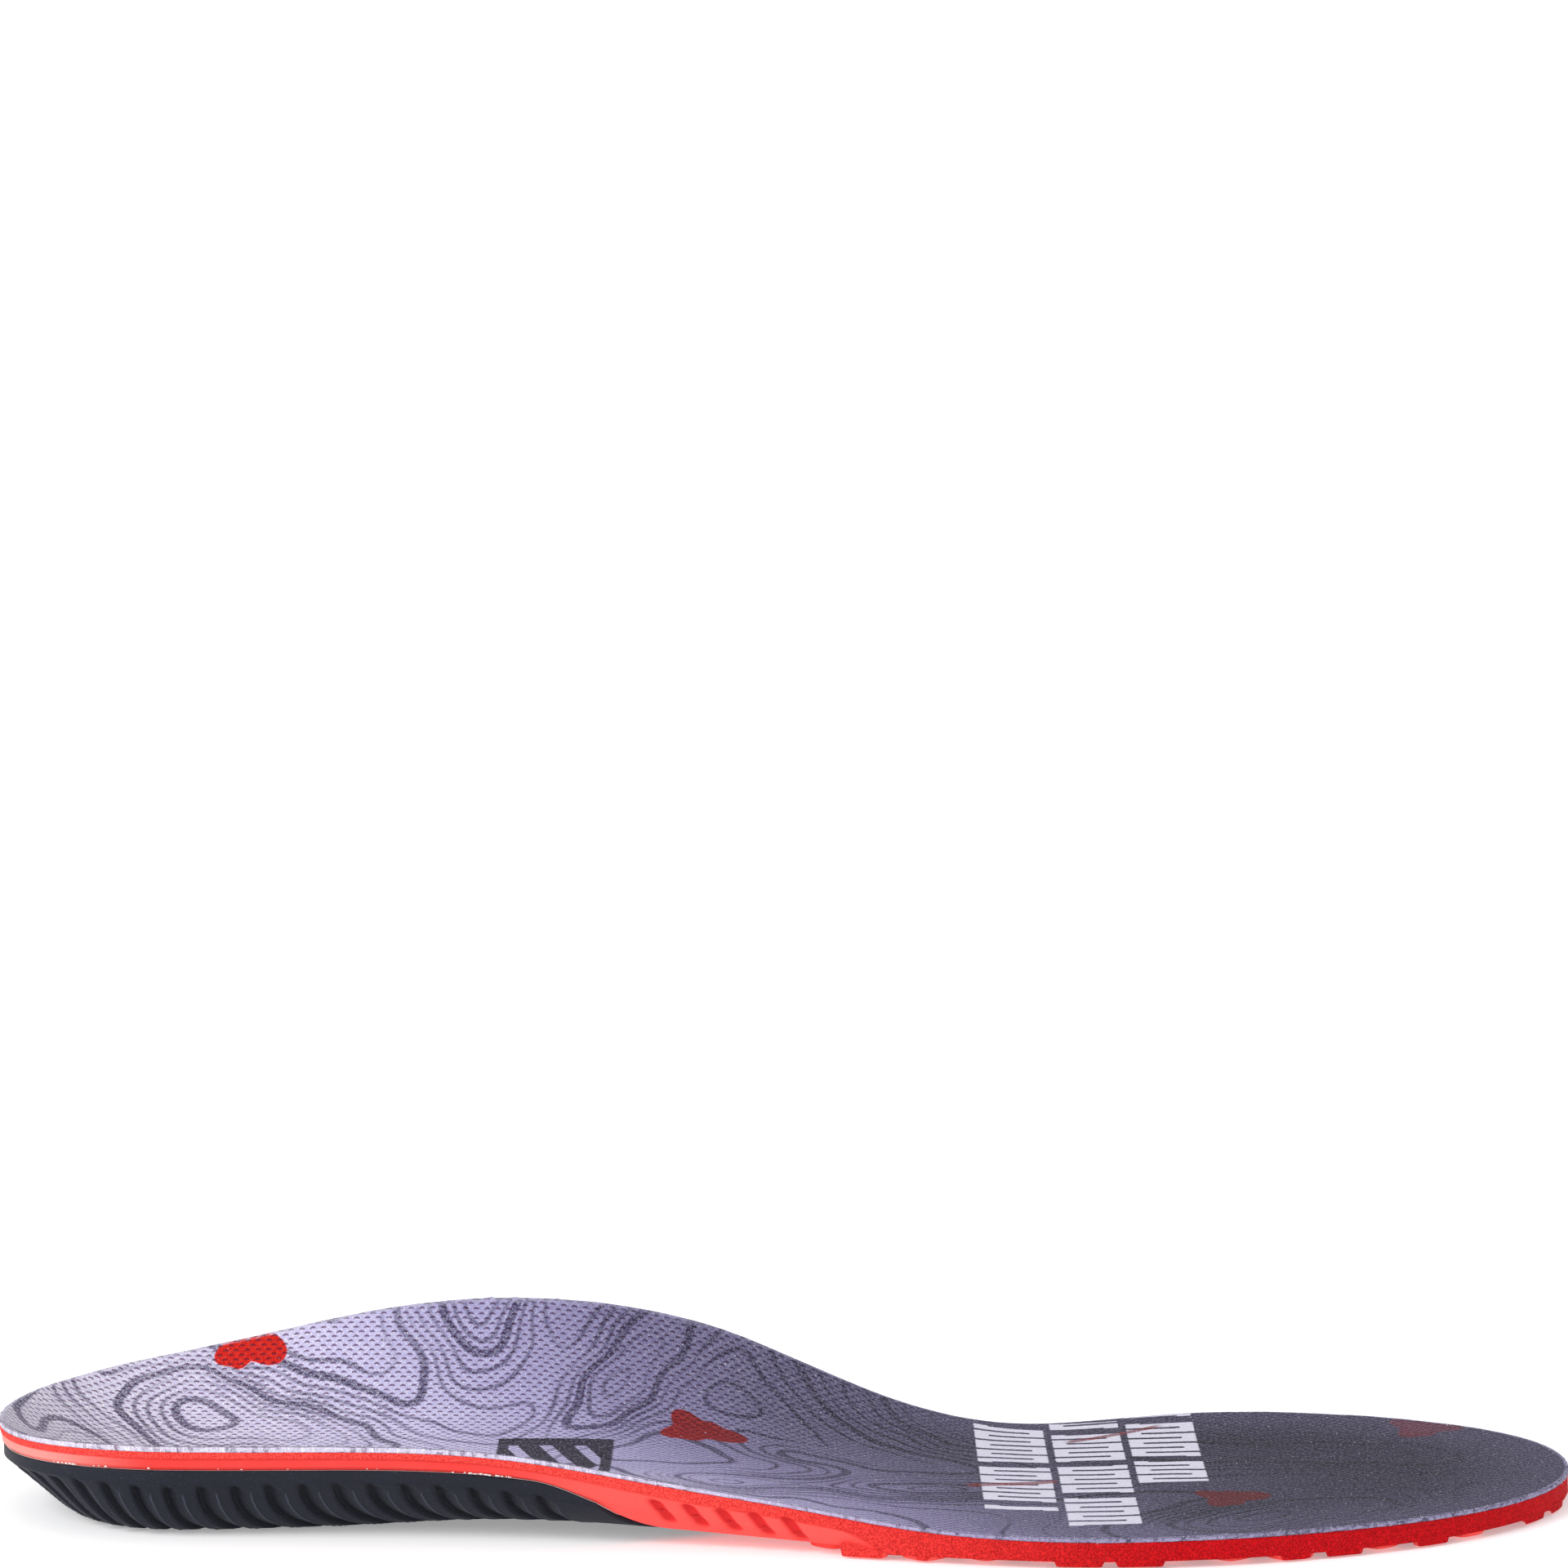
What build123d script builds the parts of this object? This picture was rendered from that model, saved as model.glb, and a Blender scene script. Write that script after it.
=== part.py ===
"""A cushioned insole for a right shoe: knit top cover on a moulded foam bed, held at the
heel and arch by a firm cradle with a soft heel pad.

Millimetres.  +X points to the toe, +Y to the inner (arch) side, +Z up.  The origin is on
the floor, under the middle of the insole's bounding box.  "Station" is the distance from
the rear end of the heel, and "reach" is 0 on the centre line and 1 on the outline.
"""
from build123d import *
import os
import numpy as np

# ---- plan outline -------------------------------------------------------------------
length = 280.0
heel_cap = 34.0             # length of the rounded heel end
toe_cap = 68.0              # length of the rounded toe end
cap_power = 2.1             # superellipse power of both ends
plan_stations = [0, 34, 60, 90, 120, 150, 175, 195, 215, 235, 255, 280]
plan_centre = [0.3, 0.3, 0.2, -0.5, -2.6, -5.0, -6.0, -5.0, -2.6, 0.6, 4.0, 8.5]
plan_half_width = [33.8, 33.8, 34.2, 35.0, 36.4, 39.6, 44.6, 47.6, 47.6, 46.8, 47.0, 47.8]

# ---- heights of the top surface -------------------------------------------------------
rim_stations = [0, 20, 40, 65, 90, 115, 128, 140, 160, 180, 210, 245, 280]
rim_outer = [15.8, 16.8, 16.8, 16.9, 15.9, 12.3, 10.4, 8.8, 6.1, 5.1, 5.1, 5.1, 5.1]
rim_inner = [15.8, 18.5, 22.3, 27.7, 29.9, 27.6, 24.2, 19.3, 10.6, 5.5, 6.0, 6.0, 5.1]
seat_height = [7.1, 6.9, 6.9, 7.7, 8.6, 8.6, 8.0, 7.2, 5.8, 4.9, 4.6, 4.6, 4.8]
wall_power = 3.0            # how late the walls rise towards the outline

# ---- layers ---------------------------------------------------------------------------
cover_thickness = 0.8
cover_bond_thickness = 0.1
cradle_bond_thickness = 0.12
foam_seat_thickness = 3.6   # foam over the cradle, on the centre line
foam_rim_thickness = 2.5    # foam over the cradle, at the outline

# ---- underside ------------------------------------------------------------------------
sole_stations = [0, 30, 50, 66, 88, 118, 145, 165, 190, 235, 280]
sole_height = [-0.35, -0.35, -0.35, 0.1, 1.7, 1.7, 0.8, 0.8, 0.9, 0.9, 0.9]
sole_flat_reach = 0.57      # the underside is level out to this reach
wall_power_stations = [0, 12, 24, 38, 55, 70, 90, 110, 130, 150, 170, 280]
sole_wall_powers = [1.3, 1.6, 3.0, 3.2, 2.3, 2.0, 2.8, 3.8, 4.6, 4.6, 3.0, 1.75]
cradle_band = 2.0           # height of the plain band along the cradle's top edge
cradle_ratio = 0.982        # the cradle's edge stands about 0.6 back from the foam's

# ---- cradle plan ----------------------------------------------------------------------
cradle_front = [(98, -62), (102, -40), (129, -25), (139, -5), (144, 14), (152, 40)]
cradle_taper = 20.0         # length over which the cradle thins towards its front edge
cradle_feather = 5.0        # the thinning would reach nothing this far past that edge
blank_front = 156.0         # the untrimmed cradle's front end
blank_thickness = 0.35
window_station = 37.0
window_size = (34.0, 27.0)  # the heel pad's opening, along X and Y
pad_clearance = 0.15
pad_lift = 0.4              # the pad's underside above the floor
pad_height = 1.7
cut_height = 60.0
joint_gap = 0.02            # keeps the glued layers from overlapping
scoop_radius = 3.2
scoop_depth = 0.85
scoop_pitch = 6.4
scoop_length = 15.0
scoop_lean = 5.0            # a groove's lower end lies this far towards the toe
scoop_reach = (0.70, 0.95)  # the reach of a groove's lower and upper end
scoop_first = 12.0
scoop_last_outer = 96.0
scoop_last_inner = 122.0

# ---- forefoot lugs --------------------------------------------------------------------
lug_pitch = (10.4, 9.0)
lug_height = 0.9
lug_first_station = 164.0
lug_edge_ratio = 0.99
lug_root = 0.6              # how far a lug runs up into the foam
lug_corners = [(-4.1, 0), (0, -3.5), (4.1, 0), (0, 3.5)]

# ---- lofting --------------------------------------------------------------------------
tip_gap = 0.05              # the first and last sections stand this far inside the tips
layer_sections = 37
points_across = 13


def natural_spline(stations, values):
    """Return a smooth function through the given values (a natural cubic spline)."""
    x = np.array(stations, float)
    y = np.array(values, float)
    gap = np.diff(x)
    matrix = np.eye(len(x))
    right = np.zeros(len(x))
    for i in range(1, len(x) - 1):
        matrix[i, i - 1:i + 2] = gap[i - 1], 2 * (gap[i - 1] + gap[i]), gap[i]
        right[i] = 6 * ((y[i + 1] - y[i]) / gap[i] - (y[i] - y[i - 1]) / gap[i - 1])
    bend = np.linalg.solve(matrix, right)

    def value_at(station):
        s = np.clip(np.asarray(station, float), x[0], x[-1])
        i = np.clip(np.searchsorted(x, s, side="right") - 1, 0, len(gap) - 1)
        ahead = (x[i + 1] - s) / gap[i]
        behind = 1 - ahead
        curved = (ahead**3 - ahead) * bend[i] + (behind**3 - behind) * bend[i + 1]
        return ahead * y[i] + behind * y[i + 1] + curved * gap[i]**2 / 6

    return value_at


centre_at = natural_spline(plan_stations, plan_centre)
half_width_at = natural_spline(plan_stations, plan_half_width)
rim_outer_at = natural_spline(rim_stations, rim_outer)
rim_inner_at = natural_spline(rim_stations, rim_inner)
seat_at = natural_spline(rim_stations, seat_height)
sole_at = natural_spline(sole_stations, sole_height)
sole_wall_power_at = natural_spline(wall_power_stations, sole_wall_powers)


def end_fraction(station):
    """0 along the insole's body, rising to 1 at the tip of the heel and of the toe."""
    heel = (heel_cap - station) / heel_cap
    toe = (station - (length - toe_cap)) / toe_cap
    return np.maximum(np.maximum(heel, toe), 0.0)


def outline_edge(station, side, ratio=1.0):
    """Sideways place of the outline, scaled about the centre line by ratio."""
    spread = np.maximum(ratio**cap_power - end_fraction(station)**cap_power, 0)
    return centre_at(station) + side * half_width_at(station) * spread**(1 / cap_power)


every_station = np.linspace(0, length, 1401)
side_shift = -(outline_edge(every_station, -1).min() + outline_edge(every_station, 1).max()) / 2


def place(station, across):
    """A point of the plan, from its station and its distance from the heel's axis."""
    return (float(station) - length / 2, float(across) + side_shift)


def outline_points(ratio, count=31):
    """The closed outline, scaled by ratio, once round."""
    first = heel_cap * (1 - ratio)
    last = length - toe_cap * (1 - ratio)
    swing = np.linspace(0, np.pi, count)
    stations = first + (last - first) * (1 - np.cos(swing)) / 2
    outer = [place(s, outline_edge(s, -1, ratio)) for s in stations]
    inner = [place(s, outline_edge(s, 1, ratio)) for s in stations[-2:0:-1]]
    return outer + inner


def reach_of(x, y):
    """How far out a plan point is (1 on the outline), and its signed sideways share."""
    station = x + length / 2
    sideways = (y - side_shift - centre_at(station)) / half_width_at(station)
    reach = (end_fraction(station)**cap_power + np.abs(sideways)**cap_power)**(1 / cap_power)
    return reach, np.clip(sideways, -1, 1)


def rise(reach, power):
    """reach to the power inside the outline, and its straight continuation outside."""
    return np.where(reach < 1, reach**power, 1 + power * (reach - 1))


def rim_height(x, sideways):
    """The top edge's height, passing from the outer to the inner side round the ends."""
    inner_share = (1 + np.sin(sideways * np.pi / 2)) / 2
    station = x + length / 2
    return rim_outer_at(station) * (1 - inner_share) + rim_inner_at(station) * inner_share


def top_height(x, y):
    reach, sideways = reach_of(x, y)
    seat = seat_at(x + length / 2)
    return seat + (rim_height(x, sideways) - seat) * rise(reach, wall_power)


def below_top(drop):
    """The top surface's height function, lowered by a thickness measured square to it."""
    def height(x, y):
        step = 0.5
        slope_x = (top_height(x + step, y) - top_height(x - step, y)) / (2 * step)
        slope_y = (top_height(x, y + step) - top_height(x, y - step)) / (2 * step)
        steepness = np.minimum(np.hypot(slope_x, slope_y), 1.2)
        return top_height(x, y) - drop * np.sqrt(1 + steepness**2)
    return height


foam_top_height = below_top(cover_thickness + cover_bond_thickness)


def underside_height(x, y):
    """The lowest surface: level under the foot, rising to a band below the rim."""
    reach, sideways = reach_of(x, y)
    base = sole_at(x + length / 2)
    layers = cover_thickness * 1.3 + cover_bond_thickness + foam_rim_thickness + cradle_band
    band_foot = np.maximum(rim_height(x, sideways) - layers, base)
    out = np.maximum(reach - sole_flat_reach, 0) / (1 - sole_flat_reach)
    return base + (band_foot - base) * rise(out, sole_wall_power_at(x + length / 2))


def cradle_share(x, y):
    """1 over the cradle's body, thinning to 0 at its front edge."""
    stations, across = np.transpose(cradle_front)
    edge_station = np.interp(y - side_shift, across, stations)
    behind = (edge_station + cradle_feather - (x + length / 2)) / cradle_taper
    return np.clip(behind, 0, 1)**2 * (3 - 2 * np.clip(behind, 0, 1))


def foam_bottom_height(x, y):
    """The joint with the cradle, passing into the underside ahead of the cradle."""
    reach, _ = reach_of(x, y)
    foam = foam_seat_thickness - (foam_seat_thickness - foam_rim_thickness) * np.clip(reach, 0, 1)**2
    underside = underside_height(x, y)
    share = cradle_share(x, y)
    return underside + (foam_top_height(x, y) - foam - underside) * share


def under_joint(drop):
    """The joint's height function, lowered; ahead of the cradle it stays off the underside."""
    def height(x, y):
        return np.maximum(foam_bottom_height(x, y), underside_height(x, y) + blank_thickness) - drop
    return height


def section(station, outer, inner, upper, lower):
    """One cross-section of a layer, from its outer to its inner edge."""
    sweep = np.sin(np.linspace(-np.pi / 2, np.pi / 2, points_across))
    across = (outer + inner) / 2 + (inner - outer) / 2 * sweep
    x = station - length / 2
    y = across + side_shift
    with BuildSketch(Plane.YZ.offset(float(x))) as cut:
        with BuildLine():
            top = Spline(*[(float(a), float(upper(x, a))) for a in y])
            bottom = Spline(*[(float(a), float(lower(x, a))) for a in y])
            Line(top @ 0, bottom @ 0)
            Line(top @ 1, bottom @ 1)
        make_face()
    return cut.sketch


def section_stations():
    swing = np.linspace(0, np.pi, layer_sections)
    return tip_gap + (length - 2 * tip_gap) * (1 - np.cos(swing)) / 2


def layer(upper, lower, stations, ratio=1.0):
    """The sections of the layer between two height functions."""
    sections = []
    for station in stations:
        outer = outline_edge(station, -1, ratio)
        inner = outline_edge(station, 1, ratio)
        sections.append(section(station, outer, inner, upper, lower))
    return sections


def cradle_layer(upper, lower):
    """The sections of a layer of the cradle, before its front edge is trimmed."""
    rear = heel_cap * (1 - cradle_ratio) + tip_gap
    between = [s for s in section_stations() if rear + 1 < s < blank_front - 1]
    return layer(upper, lower, [rear, *between, blank_front], cradle_ratio)


def ahead_of_cradle():
    """The plan area that the cradle's slanting front edge leaves free."""
    with BuildSketch() as area:
        with BuildLine():
            front = Spline(*[place(*point) for point in cradle_front])
            far = place(blank_front + 10, cradle_front[-1][1])
            near = place(blank_front + 10, cradle_front[0][1])
            Polyline(front @ 1, far, near, front @ 0)
        make_face()
    return area.sketch


def wall_point(station, side, reach):
    """The underside's point at a reach, straight across from the centre line."""
    centre = float(centre_at(station))
    y = centre + (float(outline_edge(station, side)) - centre) * reach + side_shift
    x = station - length / 2
    return Vector(x, y, float(underside_height(x, y)))


def scoop_planes():
    """A plane for each scooped groove: its origin in the wall and its Z along the groove."""
    planes = []
    for side, last in ((-1, scoop_last_outer), (1, scoop_last_inner)):
        for station in np.arange(scoop_first, last, scoop_pitch):
            upper = wall_point(station, side, scoop_reach[1])
            lower = wall_point(station + scoop_lean, side, scoop_reach[0])
            along = (upper - lower).normalized()
            outward = Vector(0, side, 0).cross(along).cross(along) * -1
            outward = outward.normalized()
            middle = (upper + lower) / 2 + outward * (scoop_radius - scoop_depth)
            planes.append(Plane(origin=middle, z_dir=along))
    return planes


def lug_points():
    """Centres of the forefoot's diamond lugs, every second row shifted by half a pitch."""
    points = []
    rows = int(60 / lug_pitch[1])
    for row in range(-rows, rows + 1):
        shift = lug_pitch[0] / 2 * (row % 2)
        for station in np.arange(lug_first_station + shift, length, lug_pitch[0]):
            x, y = place(station, row * lug_pitch[1])
            if underside_height(x, y) < lug_height + lug_root / 3:
                points.append((x, y))
    return points


with BuildPart() as top_cover:
    loft(layer(top_height, below_top(cover_thickness), section_stations()), ruled=True)

with BuildPart() as cover_bond:
    loft(layer(below_top(cover_thickness), foam_top_height, section_stations()), ruled=True)

with BuildPart() as foam_bed:
    loft(layer(foam_top_height, foam_bottom_height, section_stations()), ruled=True)
    with BuildSketch():
        with BuildLine():
            Spline(*outline_points(lug_edge_ratio), periodic=True)
        make_face()
        with Locations(*lug_points()):
            Polygon(*lug_corners, mode=Mode.INTERSECT)
    extrude(amount=lug_height + lug_root)

with BuildPart() as cradle_bond:
    loft(cradle_layer(under_joint(joint_gap), under_joint(cradle_bond_thickness)), ruled=True)
    add(ahead_of_cradle())
    extrude(amount=cut_height, mode=Mode.SUBTRACT)

with BuildPart() as support_cradle:
    loft(cradle_layer(under_joint(cradle_bond_thickness + joint_gap), underside_height), ruled=True)
    split(bisect_by=Plane.XY, keep=Keep.TOP)
    add(ahead_of_cradle())
    extrude(amount=cut_height, mode=Mode.SUBTRACT)
    with BuildSketch():
        with Locations(place(window_station, 0)):
            Ellipse(window_size[0] / 2, window_size[1] / 2)
    extrude(amount=cut_height, mode=Mode.SUBTRACT)
    with Locations(*scoop_planes()):
        Cylinder(scoop_radius, scoop_length, mode=Mode.SUBTRACT)

with BuildPart() as heel_pad:
    with BuildSketch(Plane.XY.offset(pad_lift)):
        with Locations(place(window_station, 0)):
            Ellipse(window_size[0] / 2 - pad_clearance, window_size[1] / 2 - pad_clearance)
    extrude(amount=pad_height)

nodes = {
    "top_cover": top_cover,
    "cover_bond": cover_bond,
    "foam_bed": foam_bed,
    "cradle_bond": cradle_bond,
    "support_cradle": support_cradle,
    "heel_pad": heel_pad,
}
os.makedirs("parts", exist_ok=True)
for name, builder in nodes.items():
    builder.part.label = name
    export_step(builder.part, f"parts/{name}.step")
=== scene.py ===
"""A cushioned insole for a right shoe, shown on a pale floor under soft studio light.

Shapes are worked out in millimetres in the insole's own terms and put into metres when a
mesh is made.  "Station" is the distance from the rear of the heel, "run" the distance
round the outline from the heel's tip (negative on the outer side), and "reach" is 0 on the
centre line and 1 on the outline.
"""
import math
import bmesh
import bpy
import numpy as np
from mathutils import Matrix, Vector


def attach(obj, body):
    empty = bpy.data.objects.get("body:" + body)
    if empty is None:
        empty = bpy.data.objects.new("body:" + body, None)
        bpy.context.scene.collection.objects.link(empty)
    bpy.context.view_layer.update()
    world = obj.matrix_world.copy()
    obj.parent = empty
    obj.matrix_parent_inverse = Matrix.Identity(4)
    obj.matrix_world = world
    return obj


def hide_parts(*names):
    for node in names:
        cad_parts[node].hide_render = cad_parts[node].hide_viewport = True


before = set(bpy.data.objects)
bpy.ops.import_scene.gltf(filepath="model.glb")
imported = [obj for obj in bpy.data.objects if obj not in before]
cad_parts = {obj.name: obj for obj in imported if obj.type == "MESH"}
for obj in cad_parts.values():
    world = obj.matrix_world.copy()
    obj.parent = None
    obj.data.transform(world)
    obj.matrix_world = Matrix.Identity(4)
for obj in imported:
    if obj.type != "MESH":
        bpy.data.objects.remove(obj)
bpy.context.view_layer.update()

# ---- plan outline (mm) -----------------------------------------------------------------
LENGTH = 280.0
HEEL_CAP = 34.0
TOE_CAP = 68.0
CAP_POWER = 2.1
PLAN_STATIONS = [0, 34, 60, 90, 120, 150, 175, 195, 215, 235, 255, 280]
PLAN_CENTRE = [0.3, 0.3, 0.2, -0.5, -2.6, -5.0, -6.0, -5.0, -2.6, 0.6, 4.0, 8.5]
PLAN_HALF_WIDTH = [33.8, 33.8, 34.2, 35.0, 36.4, 39.6, 44.6, 47.6, 47.6, 46.8, 47.0, 47.8]

# ---- top surface (mm) ------------------------------------------------------------------
RIM_STATIONS = [0, 20, 40, 65, 90, 115, 128, 140, 160, 180, 210, 245, 280]
RIM_OUTER = [15.8, 16.8, 16.8, 16.9, 15.9, 12.3, 10.4, 8.8, 6.1, 5.1, 5.1, 5.1, 5.1]
RIM_INNER = [15.8, 18.5, 22.3, 27.7, 29.9, 27.6, 24.2, 19.3, 10.6, 5.5, 6.0, 6.0, 5.1]
SEAT_HEIGHT = [7.1, 6.9, 6.9, 7.7, 8.6, 8.6, 8.0, 7.2, 5.8, 4.9, 4.6, 4.6, 4.8]
WALL_POWER = 3.0

# ---- layers and underside (mm) -----------------------------------------------------------
COVER = 0.8
COVER_SLANT = 1.3
FILM = 0.1
JOINT = 0.14
FOAM_SEAT = 3.6
FOAM_RIM = 2.5
SOLE_STATIONS = [0, 30, 50, 66, 88, 118, 145, 165, 190, 235, 280]
SOLE_HEIGHT = [-0.35, -0.35, -0.35, 0.1, 1.7, 1.7, 0.8, 0.8, 0.9, 0.9, 0.9]
SOLE_FLAT_REACH = 0.57
WALL_POWER_STATIONS = [0, 12, 24, 38, 55, 70, 90, 110, 130, 150, 170, 280]
SOLE_WALL_POWERS = [1.3, 1.6, 3.0, 3.2, 2.3, 2.0, 2.8, 3.8, 4.6, 4.6, 3.0, 1.75]
CRADLE_BAND = 2.0
CRADLE_RATIO = 0.982
CRADLE_FRONT = [(98, -62), (102, -40), (129, -25), (139, -5), (144, 14), (152, 40)]
CRADLE_TAPER = 20.0
CRADLE_FEATHER = 5.0
PAD_STATION = 37.0
PAD_SIZE = (33.7, 26.7)
LUG_PITCH = (10.4, 9.0)
LUG_FIRST = 148.0
LUG_RADII = (4.3, 3.7)
LUG_POWER = 1.35
GROOVES = dict(first=4.0, last=122, pitch=5.9, start=3.2, lean=0.02, curve=0.026)
GROOVE_DEPTH = 1.15
PILL_FIRST = 117.3
PILL_LAST = 4
PILL_PITCH = 5.75
PILL_SLANT = 0.80
PILL_RADIUS = 1.55
PILL_FALL = 2.7
PILL_DEPTH = 0.9
FIBRE_COUNT = 6000


# ======================================================================== shape functions
def natural_spline(stations, values):
    """A smooth function through the given values (a natural cubic spline)."""
    x = np.array(stations, float)
    y = np.array(values, float)
    gap = np.diff(x)
    matrix = np.eye(len(x))
    right = np.zeros(len(x))
    for i in range(1, len(x) - 1):
        matrix[i, i - 1:i + 2] = gap[i - 1], 2 * (gap[i - 1] + gap[i]), gap[i]
        right[i] = 6 * ((y[i + 1] - y[i]) / gap[i] - (y[i] - y[i - 1]) / gap[i - 1])
    bend = np.linalg.solve(matrix, right)

    def value_at(station):
        s = np.clip(np.asarray(station, float), x[0], x[-1])
        i = np.clip(np.searchsorted(x, s, side="right") - 1, 0, len(gap) - 1)
        ahead = (x[i + 1] - s) / gap[i]
        behind = 1 - ahead
        curved = (ahead**3 - ahead) * bend[i] + (behind**3 - behind) * bend[i + 1]
        return ahead * y[i] + behind * y[i + 1] + curved * gap[i]**2 / 6

    return value_at


centre_at = natural_spline(PLAN_STATIONS, PLAN_CENTRE)
half_width_at = natural_spline(PLAN_STATIONS, PLAN_HALF_WIDTH)
rim_outer_at = natural_spline(RIM_STATIONS, RIM_OUTER)
rim_inner_at = natural_spline(RIM_STATIONS, RIM_INNER)
seat_at = natural_spline(RIM_STATIONS, SEAT_HEIGHT)
sole_at = natural_spline(SOLE_STATIONS, SOLE_HEIGHT)
sole_wall_power_at = natural_spline(WALL_POWER_STATIONS, SOLE_WALL_POWERS)


def ease(value, low, high):
    """0 below low, 1 above high, and a smooth step between them."""
    t = np.clip((value - low) / (high - low), 0, 1)
    return t * t * (3 - 2 * t)


def end_fraction(station):
    """0 along the middle, rising evenly to 1 at the tip of the heel and of the toe."""
    heel = (HEEL_CAP - station) / HEEL_CAP
    toe = (station - (LENGTH - TOE_CAP)) / TOE_CAP
    return np.maximum(np.maximum(heel, toe), 0.0)


def outline_edge(station, side, ratio=1.0):
    """Sideways place of the outline: a superellipse at both ends, the half width between."""
    spread = np.maximum(ratio**CAP_POWER - end_fraction(station)**CAP_POWER, 0)
    return centre_at(station) + side * half_width_at(station) * spread**(1 / CAP_POWER)


every_station = np.linspace(0, LENGTH, 1401)
side_shift = -(outline_edge(every_station, -1).min() + outline_edge(every_station, 1).max()) / 2


def reach_of(station, across):
    """0 on the centre line and 1 on the outline, with the share of the half width."""
    sideways = (across - centre_at(station)) / half_width_at(station)
    reach = (end_fraction(station)**CAP_POWER + np.abs(sideways)**CAP_POWER)**(1 / CAP_POWER)
    return reach, np.clip(sideways, -1, 1)


def rise(reach, power):
    """Reach to a power, going on in a straight line past the outline."""
    return np.where(reach < 1, reach**power, 1 + power * (reach - 1))


def rim_height(station, sideways):
    """The outer and the inner rim's heights, blended by the sine of the way across."""
    inner_share = (1 + np.sin(sideways * np.pi / 2)) / 2
    return rim_outer_at(station) * (1 - inner_share) + rim_inner_at(station) * inner_share


def top_height(station, across):
    """The seat's height, plus the rim's height above it times reach to the wall power."""
    reach, sideways = reach_of(station, across)
    seat = seat_at(station)
    return seat + (rim_height(station, sideways) - seat) * rise(reach, WALL_POWER)


def below_top(station, across, drop):
    """The top surface lowered by drop, measured square to it."""
    step = 0.5
    ahead = top_height(station + step, across) - top_height(station - step, across)
    aside = top_height(station, across + step) - top_height(station, across - step)
    steepness = np.minimum(np.hypot(ahead, aside) / (2 * step), 1.2)
    return top_height(station, across) - drop * np.sqrt(1 + steepness**2)


def underside_height(station, across):
    """Level out to the flat reach, then rising as a power of what is left to the rim."""
    reach, sideways = reach_of(station, across)
    base = sole_at(station)
    layers = COVER * COVER_SLANT + FILM + FOAM_RIM + CRADLE_BAND
    band_foot = np.maximum(rim_height(station, sideways) - layers, base)
    out = np.maximum(reach - SOLE_FLAT_REACH, 0) / (1 - SOLE_FLAT_REACH)
    return base + (band_foot - base) * rise(out, sole_wall_power_at(station))


def foam_bottom_height(station, across):
    """The joint with the cradle, passing into the underside ahead of the cradle."""
    reach, _ = reach_of(station, across)
    stations, edge = np.transpose(CRADLE_FRONT)
    behind = (np.interp(across, edge, stations) + CRADLE_FEATHER - station) / CRADLE_TAPER
    foam = FOAM_SEAT - (FOAM_SEAT - FOAM_RIM) * np.clip(reach, 0, 1)**2
    under = underside_height(station, across)
    over_cradle = below_top(station, across, COVER + FILM) - foam
    return under + (over_cradle - under) * ease(behind, 0, 1)


# ------------------------------------------------------------------ the run round the edge
swing = np.linspace(0, np.pi, 3001)
edge_stations = LENGTH * (1 - np.cos(swing)) / 2
edge_across = outline_edge(edge_stations, -1)
edge_steps = np.hypot(np.diff(edge_stations), np.diff(edge_across))
edge_runs = np.append(0, np.cumsum(edge_steps))
HALF_RUN = edge_runs[-1]


def plan_point(run, reach, ratio=1.0):
    """Station and sideways place: reach times the way from the centre line to the outline.

    The centre line stops where the rounded ends begin, so the lines of equal run fan out
    from its two ends.
    """
    station = np.interp(np.abs(run), edge_runs, edge_stations)
    side = np.where(run < 0, -1.0, 1.0)
    across = outline_edge(station, side)
    hub = np.clip(station, HEEL_CAP, LENGTH - TOE_CAP)
    hub_across = centre_at(hub)
    scale = reach * ratio
    return hub + (station - hub) * scale, hub_across + (across - hub_across) * scale


def wave_noise(a, b, seed, octaves=3):
    """Smooth noise from -1 to 1: sums of sines at seeded turns and phases."""
    rng = np.random.default_rng(seed)
    total = np.zeros(np.broadcast(a, b).shape)
    weight = 0.0
    for octave in range(octaves):
        for _ in range(4):
            turn = rng.uniform(0, 2 * np.pi)
            phase = rng.uniform(0, 2 * np.pi)
            pitch = 2.0**octave * rng.uniform(0.8, 1.3)
            share = 0.6**octave
            total += share * np.sin(pitch * (a * np.cos(turn) + b * np.sin(turn)) + phase)
            weight += share
    return total / weight * 1.6


# ========================================================================== mesh making
def place_points(station, across, height):
    """Points in millimetres from the middle of the insole's box."""
    return np.stack([station - LENGTH / 2, across + side_shift, height], -1)


def join_corners(points, quads, snap):
    """Corners that round to the same multiple of snap made one; and which ones were kept."""
    keys = np.round(points / snap).astype(np.int64)
    _, first, joined = np.unique(keys, axis=0, return_index=True, return_inverse=True)
    return points[first], joined.reshape(-1)[quads], first


def ring_quads(index):
    """Faces between neighbouring rings of corners, each ring closed on itself."""
    beside = np.roll(index, -1, axis=-1)
    corners = [index[:, :-1], beside[:, :-1], beside[:, 1:], index[:, 1:]]
    return np.stack(corners, -1).reshape(-1, 4)


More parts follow.
